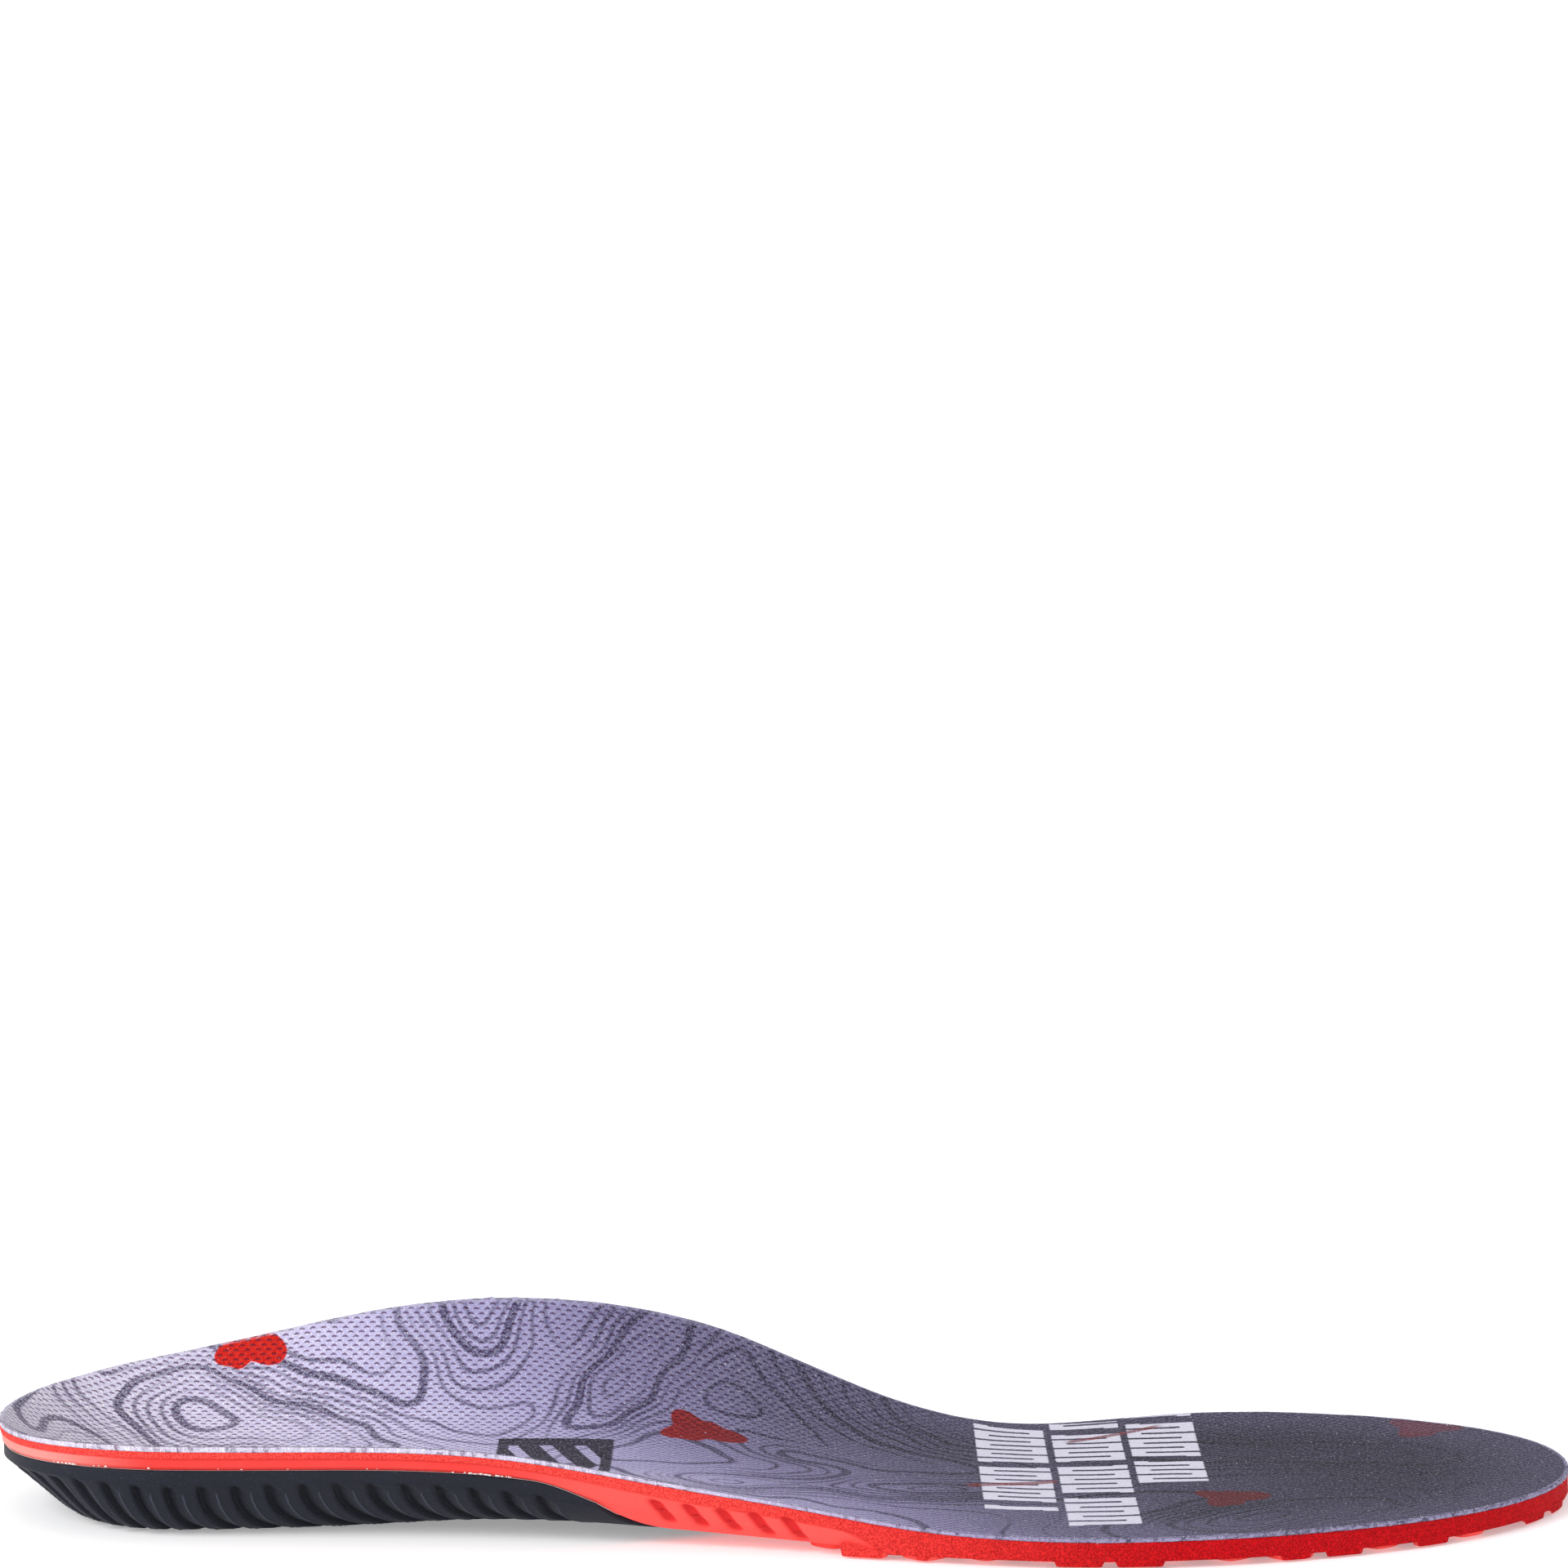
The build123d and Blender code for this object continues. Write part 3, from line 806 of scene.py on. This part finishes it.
class Graph:
    """Short calls for adding nodes to a material's or a group's tree."""

    def __init__(self, tree):
        self.tree = tree

    def add(self, kind, inputs=None, **settings):
        node = self.tree.nodes.new(kind)
        for key, value in settings.items():
            setattr(node, key, value)
        for key, value in (inputs or {}).items():
            self.feed(node.inputs[key], value)
        return node

    def feed(self, socket, value):
        if isinstance(value, bpy.types.NodeSocket):
            self.tree.links.new(value, socket)
        else:
            socket.default_value = value

    def math(self, operation, first, second=0.0, third=0.0, clamp=False):
        node = self.add("ShaderNodeMath", operation=operation, use_clamp=clamp)
        for socket, value in zip(node.inputs, (first, second, third)):
            self.feed(socket, value)
        return node.outputs[0]

    def times(self, first, second, clamp=False):
        return self.math("MULTIPLY", first, second, clamp=clamp)

    def plus(self, first, second):
        return self.math("ADD", first, second)

    def minus(self, first, second):
        return self.math("SUBTRACT", first, second)

    def over(self, first, second):
        return self.math("DIVIDE", first, second)

    def scaled(self, value, factor, offset):
        return self.math("MULTIPLY_ADD", value, factor, offset)

    def size(self, value):
        return self.math("ABSOLUTE", value)

    def place(self):
        return self.add("ShaderNodeTexCoord").outputs["Object"]

    def parts(self, vector):
        return self.add("ShaderNodeSeparateXYZ", {0: vector}).outputs

    def red(self, colour):
        return self.add("ShaderNodeSeparateColor", {0: colour}).outputs[0]

    def stretch(self, vector, factors):
        node = self.add("ShaderNodeVectorMath", {0: vector, 1: factors}, operation="MULTIPLY")
        return node.outputs[0]

    def step(self, value, low, high, to_low=0.0, to_high=1.0):
        """A smooth step from to_low to to_high as the value goes from low to high."""
        node = self.add("ShaderNodeMapRange", interpolation_type="SMOOTHSTEP")
        for socket, number in zip(node.inputs, (value, low, high, to_low, to_high)):
            self.feed(socket, number)
        return node.outputs[0]

    def mix(self, share, first, second, blend="MIX"):
        node = self.add("ShaderNodeMix", data_type="RGBA", blend_type=blend)
        self.feed(node.inputs["Factor"], share)
        self.feed(node.inputs["A"], first)
        self.feed(node.inputs["B"], second)
        return node.outputs["Result"]

    def ramp(self, value, stops):
        node = self.add("ShaderNodeValToRGB", inputs={0: value})
        band = node.color_ramp
        while len(band.elements) < len(stops):
            band.elements.new(0.5)
        for element, (place, colour) in zip(band.elements, stops):
            element.position = place
            element.color = colour
        return node.outputs[0]

    def fact(self, name, vector=False):
        node = self.add("ShaderNodeAttribute", attribute_name=name)
        return node.outputs["Vector" if vector else "Fac"]

    def noise(self, vector, scale, detail=3.0, roughness=0.5):
        given = {"Vector": vector, "Scale": scale, "Detail": detail, "Roughness": roughness}
        return self.add("ShaderNodeTexNoise", given).outputs[0]

    def cells(self, vector, scale, output="Distance"):
        return self.add("ShaderNodeTexVoronoi", {"Vector": vector, "Scale": scale}).outputs[output]

    def bump(self, height, distance, strength=1.0):
        given = {"Height": height, "Distance": distance, "Strength": strength}
        return self.add("ShaderNodeBump", given).outputs[0]


def new_material(name, roughness, sheen=0.0, coat=0.0, specular=0.5):
    """A material with its Principled shader's plain values set on the shader itself."""
    material = bpy.data.materials.new(name)
    material.use_nodes = True
    graph = Graph(material.node_tree)
    shader = material.node_tree.nodes["Principled BSDF"]
    shader.inputs["Roughness"].default_value = roughness
    shader.inputs["Sheen Weight"].default_value = sheen
    shader.inputs["Sheen Roughness"].default_value = 0.5
    shader.inputs["Coat Weight"].default_value = coat
    shader.inputs["Specular IOR Level"].default_value = specular
    return material, graph, shader


def new_group(name, inputs, outputs):
    """A shader node group: a vector socket first, then numbers in and numbers out."""
    group = bpy.data.node_groups.new(name, "ShaderNodeTree")
    group.interface.new_socket(inputs[0], in_out="INPUT", socket_type="NodeSocketVector")
    for label in inputs[1:]:
        group.interface.new_socket(label, in_out="INPUT", socket_type="NodeSocketFloat")
    for label in outputs:
        group.interface.new_socket(label, in_out="OUTPUT", socket_type="NodeSocketFloat")
    graph = Graph(group)
    return group, graph, graph.add("NodeGroupInput").outputs, graph.add("NodeGroupOutput").inputs


def open_cell_group():
    """Open-celled foam: two sizes of pores, and painted glints on tiny cell walls."""
    group, g, given, out = new_group("open cells", ["Vector", "Size"], ["Pores", "Glints"])
    coarse = g.cells(given["Vector"], given["Size"])
    fine_size = g.times(given["Size"], 2.3)
    fine = g.cells(given["Vector"], fine_size)
    blend = g.plus(g.times(coarse, 0.65), g.times(fine, 0.35))
    g.feed(out["Pores"], g.step(blend, 0.15, 0.62))
    speck_size = g.times(given["Size"], 1.4)
    colour = g.cells(given["Vector"], speck_size, "Color")
    pick_one = g.red(colour)
    near = g.cells(given["Vector"], speck_size)
    g.feed(out["Glints"], g.times(g.step(pick_one, 0.90, 0.94), g.step(near, 0.30, 0.12)))
    return group


def lattice_group():
    """The knit's eyelets: staggered rows of short arched dashes, and the yarn between."""
    group, g, given, out = new_group("eyelet knit", ["Lay"], ["Eyelets", "Yarn"])
    parts = g.parts(given["Lay"])
    drift = g.noise(given["Lay"], 0.05, 1.0)
    sway = g.scaled(drift, 1.6, -0.8)
    across = g.plus(g.scaled(parts[0], 0.055, parts[1]), sway)
    row_place = g.over(across, 0.92)
    row = g.math("FLOOR", row_place)
    odd = g.times(g.math("MODULO", g.plus(row, 200.0), 2.0), 0.5)
    along = g.plus(g.over(parts[0], 2.0), odd)
    a = g.times(g.minus(g.math("FRACT", along), 0.5), 2.0)
    b = g.times(g.minus(g.minus(row_place, row), 0.5), 0.92)
    arched = g.scaled(g.times(a, a), 0.62, g.minus(b, 0.10))
    ragged = g.noise(given["Lay"], 2.2, 2.0)
    wide = g.over(a, g.scaled(ragged, 0.50, 0.28))
    tall = g.over(arched, g.scaled(ragged, 0.20, 0.09))
    far = g.math("SQRT", g.plus(g.times(wide, wide), g.times(tall, tall)))
    g.feed(out["Eyelets"], g.step(far, 1.25, 0.65))
    squeezed = g.stretch(given["Lay"], (1.0, 1.12, 1.0))
    loops = g.cells(squeezed, 2.6)
    threads = g.cells(squeezed, 5.3)
    fuzz = g.times(g.step(threads, 0.6, 0.1), 0.3)
    g.feed(out["Yarn"], g.scaled(g.step(loops, 0.58, 0.12), 0.7, fuzz))
    return group


# Printed rows: start and end along the foot, low and high across it, pitch of the bars,
# their slant, and how many bars stand together
ROW_LABELS = ("Start", "End", "Low", "High", "Pitch", "Slant", "Group")
ROWS = [
    (174.3, 187.0, -25.0, 42.0, 3.5, 0.05, 9.0),
    (188.4, 201.0, -38.4, 46.0, 3.7, -0.05, 7.0),
    (202.4, 214.8, -3.0, 48.0, 3.6, 0.06, 8.0),
]


def bar_row_group():
    """One printed row: upright bars, joined to their neighbours at alternate ends."""
    group, g, given, out = new_group("bar row", ["Lay", *ROW_LABELS], ["Ink"])
    parts = g.parts(given["Lay"])
    wobble = g.scaled(g.noise(given["Lay"], 1.6, 2.0), 0.5, -0.25)
    u = g.plus(parts[0], wobble)
    v = g.plus(parts[1], g.times(wobble, 0.6))
    from_start = g.minus(u, given["Start"])
    to_end = g.minus(given["End"], u)
    inside = g.times(g.step(from_start, -0.15, 0.15), g.step(to_end, -0.15, 0.15))
    inside = g.times(inside, g.step(g.minus(v, given["Low"]), -0.15, 0.15))
    inside = g.times(inside, g.step(g.minus(given["High"], v), -0.15, 0.15))
    slid = g.scaled(from_start, given["Slant"], v)
    place = g.plus(g.over(slid, given["Pitch"]), 60.0)
    number = g.math("FLOOR", place)
    gap = g.step(g.size(g.minus(g.math("FRACT", place), 0.5)), 0.31, 0.36)
    nearest_gap = g.math("ROUND", place)
    odd = g.math("MODULO", nearest_gap, 2.0)
    side = g.mix(odd, from_start, to_end)
    linked = g.step(side, 2.7, 2.4)
    ended = g.step(g.math("MODULO", number, given["Group"]), 0.6, 0.4)
    solid = g.minus(1.0, g.times(gap, g.minus(1.0, linked)))
    solid = g.times(solid, g.minus(1.0, ended))
    g.feed(out["Ink"], g.times(inside, solid))
    return group


def knit_ground(g, shade):
    """Printed ground colour, from pale grey at the heel to charcoal at the toes."""
    return g.ramp(g.over(shade, 300.0), [
        (0.03, tone(240, 239, 243)), (0.13, tone(247, 246, 255)), (0.27, tone(232, 230, 252)),
        (0.37, tone(195, 193, 224)), (0.44, tone(158, 155, 187)), (0.52, tone(124, 122, 147)),
        (0.66, tone(84, 82, 104)), (0.80, tone(57, 55, 72))])


def knit_material():
    """The knit's print on its ground with a painted sheen near its edge, then yarn in painted highlight and
    shade, eyelets darkened with painted shade, ink, fringe and glints over it.
    """
    material, g, shader = new_material("printed eyelet knit", 0.92, sheen=0.04, specular=0.10)
    lay = g.fact("lay", vector=True)
    parts = g.parts(lay)
    knit = g.add("ShaderNodeGroup", node_tree=lattice_group())
    g.feed(knit.inputs["Lay"], lay)
    eyelets, yarn = knit.outputs["Eyelets"], knit.outputs["Yarn"]
    shade = g.plus(g.fact("tone"), g.scaled(g.noise(lay, 0.03, 2.0), 24.0, -12.0))
    ground = knit_ground(g, shade)
    dark = g.step(shade, 95.0, 190.0)
    line = contour_lines(g, lay)
    grainy = g.step(g.plus(yarn, g.times(line, 0.9)), 1.55, 0.75)
    line_colour = g.mix(dark, tone(80, 75, 106), tone(20, 19, 26))
    line = g.times(line, g.scaled(dark, 0.35, 1.0), clamp=True)
    ground = g.mix(g.times(line, g.scaled(grainy, 0.45, 0.50)), ground, line_colour)
    leaf = g.step(g.fact("leaf"), 0.22, -0.18)
    leaf_colour = g.mix(g.step(shade, 60.0, 170.0), tone(232, 40, 30), tone(116, 36, 38))
    ground = g.mix(leaf, ground, leaf_colour)
    # Painted sheen: where the print is dark, the knit is lightened towards its outline, standing in for
    # light glancing off the fuzz there.
    edge_sheen = g.times(g.step(g.fact("brim"), 16.0, 1.0, 0.0, 0.24), dark)
    ground = g.mix(edge_sheen, ground, tone(158, 153, 184))
    badge = badge_mask(g, parts)
    ground = g.mix(g.times(badge, 0.95), ground, tone(30, 27, 36))
    ink = bar_rows(g, lay)
    streak = red_streaks(g, parts)
    ground = g.mix(streak, ground, tone(150, 56, 48))
    ground = g.mix(ink, ground, tone(250, 249, 255))
    ground = g.mix(g.times(g.times(streak, ink), 0.75), ground, tone(160, 62, 54))
    # Painted highlight and shade: a brightened copy of the ground on the yarn loops, and a darkened copy
    # between them.
    bright = g.mix(1.0, ground, (1.30, 1.29, 1.20, 1), "MULTIPLY")
    bright = g.mix(g.times(dark, 0.20), bright, tone(180, 177, 206))
    loose = g.stretch(lay, (1.0, 0.50, 1.0))
    flecks = g.step(g.noise(loose, 2.1, 2.0), 0.46, 0.68)
    shaded = g.mix(1.0, ground, g.mix(dark, tone(208, 202, 222), tone(176, 170, 190)), "MULTIPLY")
    lit = g.mix(yarn, shaded, bright)
    fleck_colour = g.mix(leaf, tone(196, 192, 222), tone(226, 96, 84))
    lit = g.mix(g.times(flecks, g.scaled(dark, -0.06, 0.21)), lit, fleck_colour)
    # The eyelets' colour is the red foam seen through the knit, darkened with painted shade for the depth of
    # the holes.
    hole = g.mix(1.0, ground, g.mix(leaf, tone(146, 118, 144), tone(150, 90, 90)), "MULTIPLY")
    deep = g.times(eyelets, g.minus(0.95, g.times(ink, 0.85)))
    cloth = g.mix(deep, lit, g.mix(0.30, hole, g.mix(dark, tone(92, 58, 88), tone(16, 14, 24))))
    cloth = g.mix(g.times(ink, g.scaled(streak, -0.6, 0.62)), cloth, tone(240, 238, 254))
    place = g.place()
    tufts = g.noise(place, 1000.0, 3.0, 0.65)
    fringe = g.math("MAXIMUM", g.fact("cut"), g.step(g.fact("brim"), 0.50, 0.10))
    fringe = g.times(fringe, g.step(tufts, 0.36, 0.62, 0.15, 0.85))
    frayed = g.mix(g.step(shade, 60.0, 150.0), tone(214, 208, 228), tone(170, 164, 200))
    cloth = g.mix(fringe, cloth, frayed)
    glint = sparkle(g, lay)
    cloth = g.mix(glint, cloth, tone(236, 234, 250))
    g.feed(shader.inputs["Base Color"], cloth)
    relief = g.minus(g.times(yarn, 0.55), g.times(eyelets, 1.0))
    relief = g.plus(relief, g.times(g.fact("cut"), g.times(tufts, 3.0)))
    g.feed(shader.inputs["Normal"], g.bump(relief, 0.00024, 0.9))
    return material


def contour_lines(g, lay):
    """Level lines of the hills: distance to the nearest level over the slope is millimetres."""
    level = g.fact("level")
    slope = g.math("MAXIMUM", g.fact("slope"), 0.02)
    nearest = g.math("ROUND", level)
    distance = g.over(g.size(g.minus(level, nearest)), slope)
    patchy = g.noise(lay, 0.040, 2.0)
    turn = g.math("MODULO", g.plus(nearest, 40.0), 4.0)
    bold = g.step(g.size(g.minus(turn, 1.0)), 0.5, 0.1)
    width = g.plus(g.times(bold, 0.40), g.scaled(patchy, 0.6, -0.10))
    core = g.step(g.minus(distance, width), 0.50, -0.15)
    strength = g.scaled(bold, 0.40, g.step(patchy, 0.34, 0.60, 0.30, 0.85))
    return g.times(core, strength, clamp=True)


def badge_mask(g, parts):
    """A dark block near the outer edge, crossed by plain chevrons."""
    u = g.minus(parts[0], 98.5)
    v = g.minus(parts[1], -12.0)
    box = g.times(g.step(g.size(u), 10.6, 10.2), g.step(g.size(v), 22.2, 21.8))
    folded = g.plus(u, g.times(g.size(v), 0.28))
    wave = g.math("FRACT", g.plus(g.over(folded, 6.2), 20.0))
    stripe = g.step(g.size(g.minus(wave, 0.5)), 0.21, 0.16)
    inner = g.times(g.step(g.size(u), 8.6, 8.2), g.step(g.size(v), 17.6, 17.2))
    return g.minus(box, g.times(g.times(stripe, inner), box))


def bar_rows(g, lay):
    """All printed rows together."""
    group = bar_row_group()
    total = 0.0
    for numbers in ROWS:
        row = g.add("ShaderNodeGroup", node_tree=group)
        g.feed(row.inputs["Lay"], lay)
        for key, number in zip(ROW_LABELS, numbers):
            row.inputs[key].default_value = number
        total = g.math("MAXIMUM", total, row.outputs["Ink"])
    return total


def streak_mask(g, parts, slope, shift, widths, begins, stops):
    """One straight stroke: thin about its line, and faded in and out along the foot."""
    away = g.size(g.minus(parts[1], g.scaled(parts[0], slope, shift)))
    ends = g.times(g.step(parts[0], *begins), g.step(parts[0], *stops))
    return g.times(g.step(away, *widths), ends)


def red_streaks(g, parts):
    """Two thin faded strokes that cross the printed rows."""
    near = streak_mask(g, parts, 0.28, -54.0, (1.5, 1.0), (171.0, 173.0), (188.5, 187.0))
    far = streak_mask(g, parts, 0.55, -74.0, (1.3, 0.8), (190.0, 192.0), (210.0, 207.0))
    return g.math("MAXIMUM", near, far)


def sparkle(g, lay):
    """Tiny bright filaments that catch the light here and there."""
    colour = g.cells(lay, 1.15, "Color")
    chosen = g.step(g.red(colour), 0.93, 0.95)
    return g.times(g.times(chosen, g.step(g.cells(lay, 1.15), 0.22, 0.10)), 0.7)


def fibre_material():
    """Pale lilac yarn ends, varied along the edge."""
    material, g, shader = new_material("yarn ends", 0.8, sheen=0.4, specular=0.2)
    place = g.place()
    varied = g.noise(place, 900.0, 2.0)
    g.feed(shader.inputs["Base Color"], g.mix(varied, tone(196, 188, 224), tone(246, 244, 252)))
    g.feed(shader.inputs["Roughness"], g.scaled(varied, 0.2, 0.7))
    return material


def foam_material():
    """Red foam: open cells where it is cut, a paler and smoother skin where it is moulded. Painted shade
    darkens the cut foam towards the toe and the moulded skin in its grooves.
    """
    material, g, shader = new_material("open-cell foam", 0.85, sheen=0.0, specular=0.13)
    place = g.place()
    along = g.parts(place)[0]
    cells = g.add("ShaderNodeGroup", node_tree=open_cells)
    g.feed(cells.inputs["Vector"], place)
    cells.inputs["Size"].default_value = 3000.0
    skin = g.fact("skin")
    groove = g.fact("groove")
    cloudy = g.noise(place, 160.0, 3.0)
    # Painted shade: the cut foam darkens towards the toe, standing in for the light falling off there.
    ahead = g.step(along, -0.03, 0.07)
    cut_low = g.mix(ahead, tone(228, 42, 40), tone(150, 1, 9))
    cut_high = g.mix(ahead, tone(255, 80, 72), tone(206, 12, 22))
    cut = g.mix(cells.outputs["Pores"], cut_low, cut_high)
    cut = g.mix(g.times(cloudy, 0.25), cut, tone(160, 8, 16))
    # Painted glints on the cut foam's cell walls.
    cut = g.mix(g.times(cells.outputs["Glints"], 0.4), cut, tone(255, 130, 120))
    rear = g.step(along, -0.132, -0.110)
    moulded = g.mix(rear, tone(250, 148, 140), tone(226, 54, 50))
    moulded = g.mix(g.step(along, -0.055, -0.030), moulded, tone(250, 84, 78))
    moulded = g.mix(g.times(cloudy, 0.25), moulded, tone(255, 110, 104))
    moulded = g.mix(g.times(cells.outputs["Pores"], 0.16), moulded, tone(226, 50, 48))
    # Painted shade: the moulded skin is darker inside the pill grooves.
    moulded = g.mix(g.step(groove, 0.05, 0.7, 0.0, 0.85), moulded, tone(200, 28, 34))
    g.feed(shader.inputs["Base Color"], g.mix(skin, cut, moulded))
    g.feed(shader.inputs["Roughness"], g.scaled(skin, -0.28, 0.86))
    pores = g.times(cells.outputs["Pores"], g.scaled(skin, -0.86, 1.0))
    g.feed(shader.inputs["Normal"], g.bump(pores, 0.00022, 0.8))
    return material


def cradle_material():
    """Charcoal foam with faint clouds, painted shade in the grooves and painted highlights along the ridges.
    """
    material, g, shader = new_material("moulded cradle foam", 0.6, sheen=0.0, specular=0.16)
    place = g.place()
    cells = g.add("ShaderNodeGroup", node_tree=open_cells)
    g.feed(cells.inputs["Vector"], place)
    cells.inputs["Size"].default_value = 3000.0
    groove = g.fact("groove")
    cloudy = g.noise(place, 90.0, 4.0)
    base = g.mix(cloudy, tone(24, 26, 35), tone(34, 37, 48))
    # Painted shade: darker inside the grooves.
    base = g.mix(g.step(groove, 0.1, 0.8), base, tone(18, 20, 28))
    # Painted glints on the cradle's cell walls.
    base = g.mix(g.times(cells.outputs["Glints"], 0.30), base, tone(150, 155, 170))
    # Painted highlight: a lighter line along each groove's raised ridge.
    crest = g.step(groove, -0.02, -0.09)
    base = g.mix(g.times(crest, 0.40), base, tone(88, 93, 110))
    g.feed(shader.inputs["Base Color"], base)
    g.feed(shader.inputs["Roughness"], g.scaled(cloudy, 0.22, 0.46))
    rough = g.plus(g.times(cells.outputs["Pores"], 0.5), g.noise(place, 1500.0, 2.0))
    g.feed(shader.inputs["Normal"], g.bump(rough, 0.00006, 0.6))
    return material


def cement_material():
    """Shiny dried cement."""
    material, g, shader = new_material("dried cement", 0.25, coat=0.6)
    place = g.place()
    varied = g.noise(place, 700.0, 2.0)
    g.feed(shader.inputs["Base Color"], g.mix(varied, tone(206, 204, 200), tone(244, 243, 240)))
    g.feed(shader.inputs["Roughness"], g.scaled(varied, 0.25, 0.15))
    return material


def film_material():
    """Milky hot-melt film."""
    material, g, shader = new_material("hot-melt film", 0.5)
    place = g.place()
    varied = g.noise(place, 260.0, 3.0)
    g.feed(shader.inputs["Base Color"], g.mix(varied, tone(226, 216, 206), tone(238, 232, 226)))
    g.feed(shader.inputs["Roughness"], g.scaled(varied, 0.3, 0.35))
    return material


def pad_material():
    """Soft red gel-like pad, finely textured."""
    material, g, shader = new_material("soft heel pad", 0.42, specular=0.5)
    place = g.place()
    varied = g.noise(place, 140.0, 4.0)
    g.feed(shader.inputs["Base Color"], g.mix(varied, tone(206, 34, 36), tone(226, 52, 48)))
    g.feed(shader.inputs["Roughness"], g.scaled(varied, 0.2, 0.34))
    g.feed(shader.inputs["Normal"], g.bump(g.noise(place, 1800.0, 2.0), 0.00005, 0.5))
    return material


def floor_material():
    """A pale floor that glows a little, so that it meets the backdrop unseen."""
    material, g, shader = new_material("pale floor", 0.7, specular=0.2)
    place = g.place()
    varied = g.noise(place, 3.0, 2.0)
    g.feed(shader.inputs["Base Color"], g.mix(varied, (0.88, 0.88, 0.89, 1), (0.92, 0.92, 0.93, 1)))
    shader.inputs["Emission Color"].default_value = (1, 1, 1, 1)
    shader.inputs["Emission Strength"].default_value = 0.30
    return material


# ============================================================================ assembly
def fit_piece(piece, material, slot, *nodes):
    """Give a piece its material and body, and hide the CAD nodes that it stands for. The slot is not used.
    """
    piece.data.materials.append(material)
    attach(piece, "root")
    if nodes:
        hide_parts(*nodes)
    return piece


def outline_area():
    """The plan's area in square metres, by adding up strips of the outline's width."""
    widths = outline_edge(every_station, 1) - outline_edge(every_station, -1)
    return float(np.sum((widths[1:] + widths[:-1]) / 2) * (every_station[1] - every_station[0])) * 1e-6


open_cells = open_cell_group()
foam = foam_material()
cement = cement_material()
cover = fit_piece(make_top_cover(), knit_material(), "knit", "top_cover")
fibres = fit_piece(make_edge_fibres(), fibre_material(), "knit")
fit_piece(make_cover_bond(), film_material(), "hot_melt", "cover_bond")
bed = fit_piece(make_foam_bed(), foam, "foam", "foam_bed")
fit_piece(make_lugs(), foam, "foam")
joint_film, joint_beads = make_joint_cement()
fit_piece(joint_film, cement, "cement", "cradle_bond")
fit_piece(joint_beads, cement, "cement")
shell = fit_piece(make_cradle(), cradle_material(), "cradle_foam", "support_cradle")
pad = fit_piece(make_heel_pad(), pad_material(), "heel_gel", "heel_pad")

outline_area() * 1.05


# =============================================================================== stage
def make_floor():
    """A round floor, level for 2.5 m and then curving up as the square of the distance."""
    radius = np.array([0.001, 2.5, 2.8, 3.1, 3.5, 4.0, 4.6])
    rise_to = 0.45 * np.maximum(radius - 2.5, 0)**2 - 0.0004
    turn, r = np.meshgrid(np.linspace(0, 2 * np.pi, 129)[:-1], radius)
    lift = np.broadcast_to(rise_to[:, None], r.shape)
    points = np.stack([r * np.cos(turn), r * np.sin(turn), lift], -1)
    index = np.arange(r.size).reshape(r.shape)
    beside = np.roll(index, -1, axis=1)
    quads = np.stack([index[:-1], index[1:], beside[1:], beside[:-1]], -1).reshape(-1, 4)
    mesh = bpy.data.meshes.new("floor")
    mesh.from_pydata(points.reshape(-1, 3).tolist(), [], quads.tolist() + [index[0].tolist()])
    mesh.polygons.foreach_set("use_smooth", np.ones(len(mesh.polygons), bool))
    floor = bpy.data.objects.new("floor", mesh)
    bpy.context.collection.objects.link(floor)
    mesh.materials.append(floor_material())


def area_light(name, place, target, size, watts):
    """A rectangular light at a place, turned towards its target."""
    data = bpy.data.lights.new(name, "AREA")
    data.shape = "RECTANGLE"
    data.size, data.size_y = size
    data.energy = watts
    light = bpy.data.objects.new(name, data)
    light.location = place
    light.rotation_euler = (Vector(target) - Vector(place)).to_track_quat("-Z", "Y").to_euler()
    bpy.context.collection.objects.link(light)


def sun_light(name, place, strength, spread):
    """A far soft light shining from the given direction, its disc spread in degrees."""
    data = bpy.data.lights.new(name, "SUN")
    data.energy = strength
    data.angle = math.radians(spread)
    light = bpy.data.objects.new(name, data)
    light.rotation_euler = (-Vector(place)).to_track_quat("-Z", "Y").to_euler()
    bpy.context.collection.objects.link(light)


def make_world():
    """Even white light from all round."""
    world = bpy.data.worlds.new("studio")
    world.use_nodes = True
    backdrop = world.node_tree.nodes["Background"]
    backdrop.inputs["Color"].default_value = (1.0, 1.0, 1.0, 1.0)
    backdrop.inputs["Strength"].default_value = 0.60
    bpy.context.scene.world = world


def make_camera():
    """A long lens on the outer side, low over the floor, aimed above the insole."""
    elevation = math.radians(12.2)
    distance = 1.1
    middle = Vector((-0.0006, -0.003 + side_shift * 0.001, 0.010))
    back = Vector((0, -math.cos(elevation), math.sin(elevation)))
    above = Vector((0, math.sin(elevation), math.cos(elevation)))
    aim = middle + above * 0.1187
    data = bpy.data.cameras.new("camera")
    data.sensor_width = 36.0
    data.lens = 141.2025
    camera = bpy.data.objects.new("camera", data)
    camera.location = middle + back * distance
    camera.rotation_euler = (aim - camera.location).to_track_quat("-Z", "Y").to_euler()
    bpy.context.collection.objects.link(camera)
    bpy.context.scene.camera = camera


make_floor()
make_world()
sun_light("key", (-0.62, -0.50, 0.72), 1.35, 24.0)
area_light("glow", (-0.60, -0.45, 0.30), (-0.08, 0, 0.01), (0.35, 0.25), 1.2)
make_camera()
bpy.context.scene.view_settings.view_transform = "Standard"
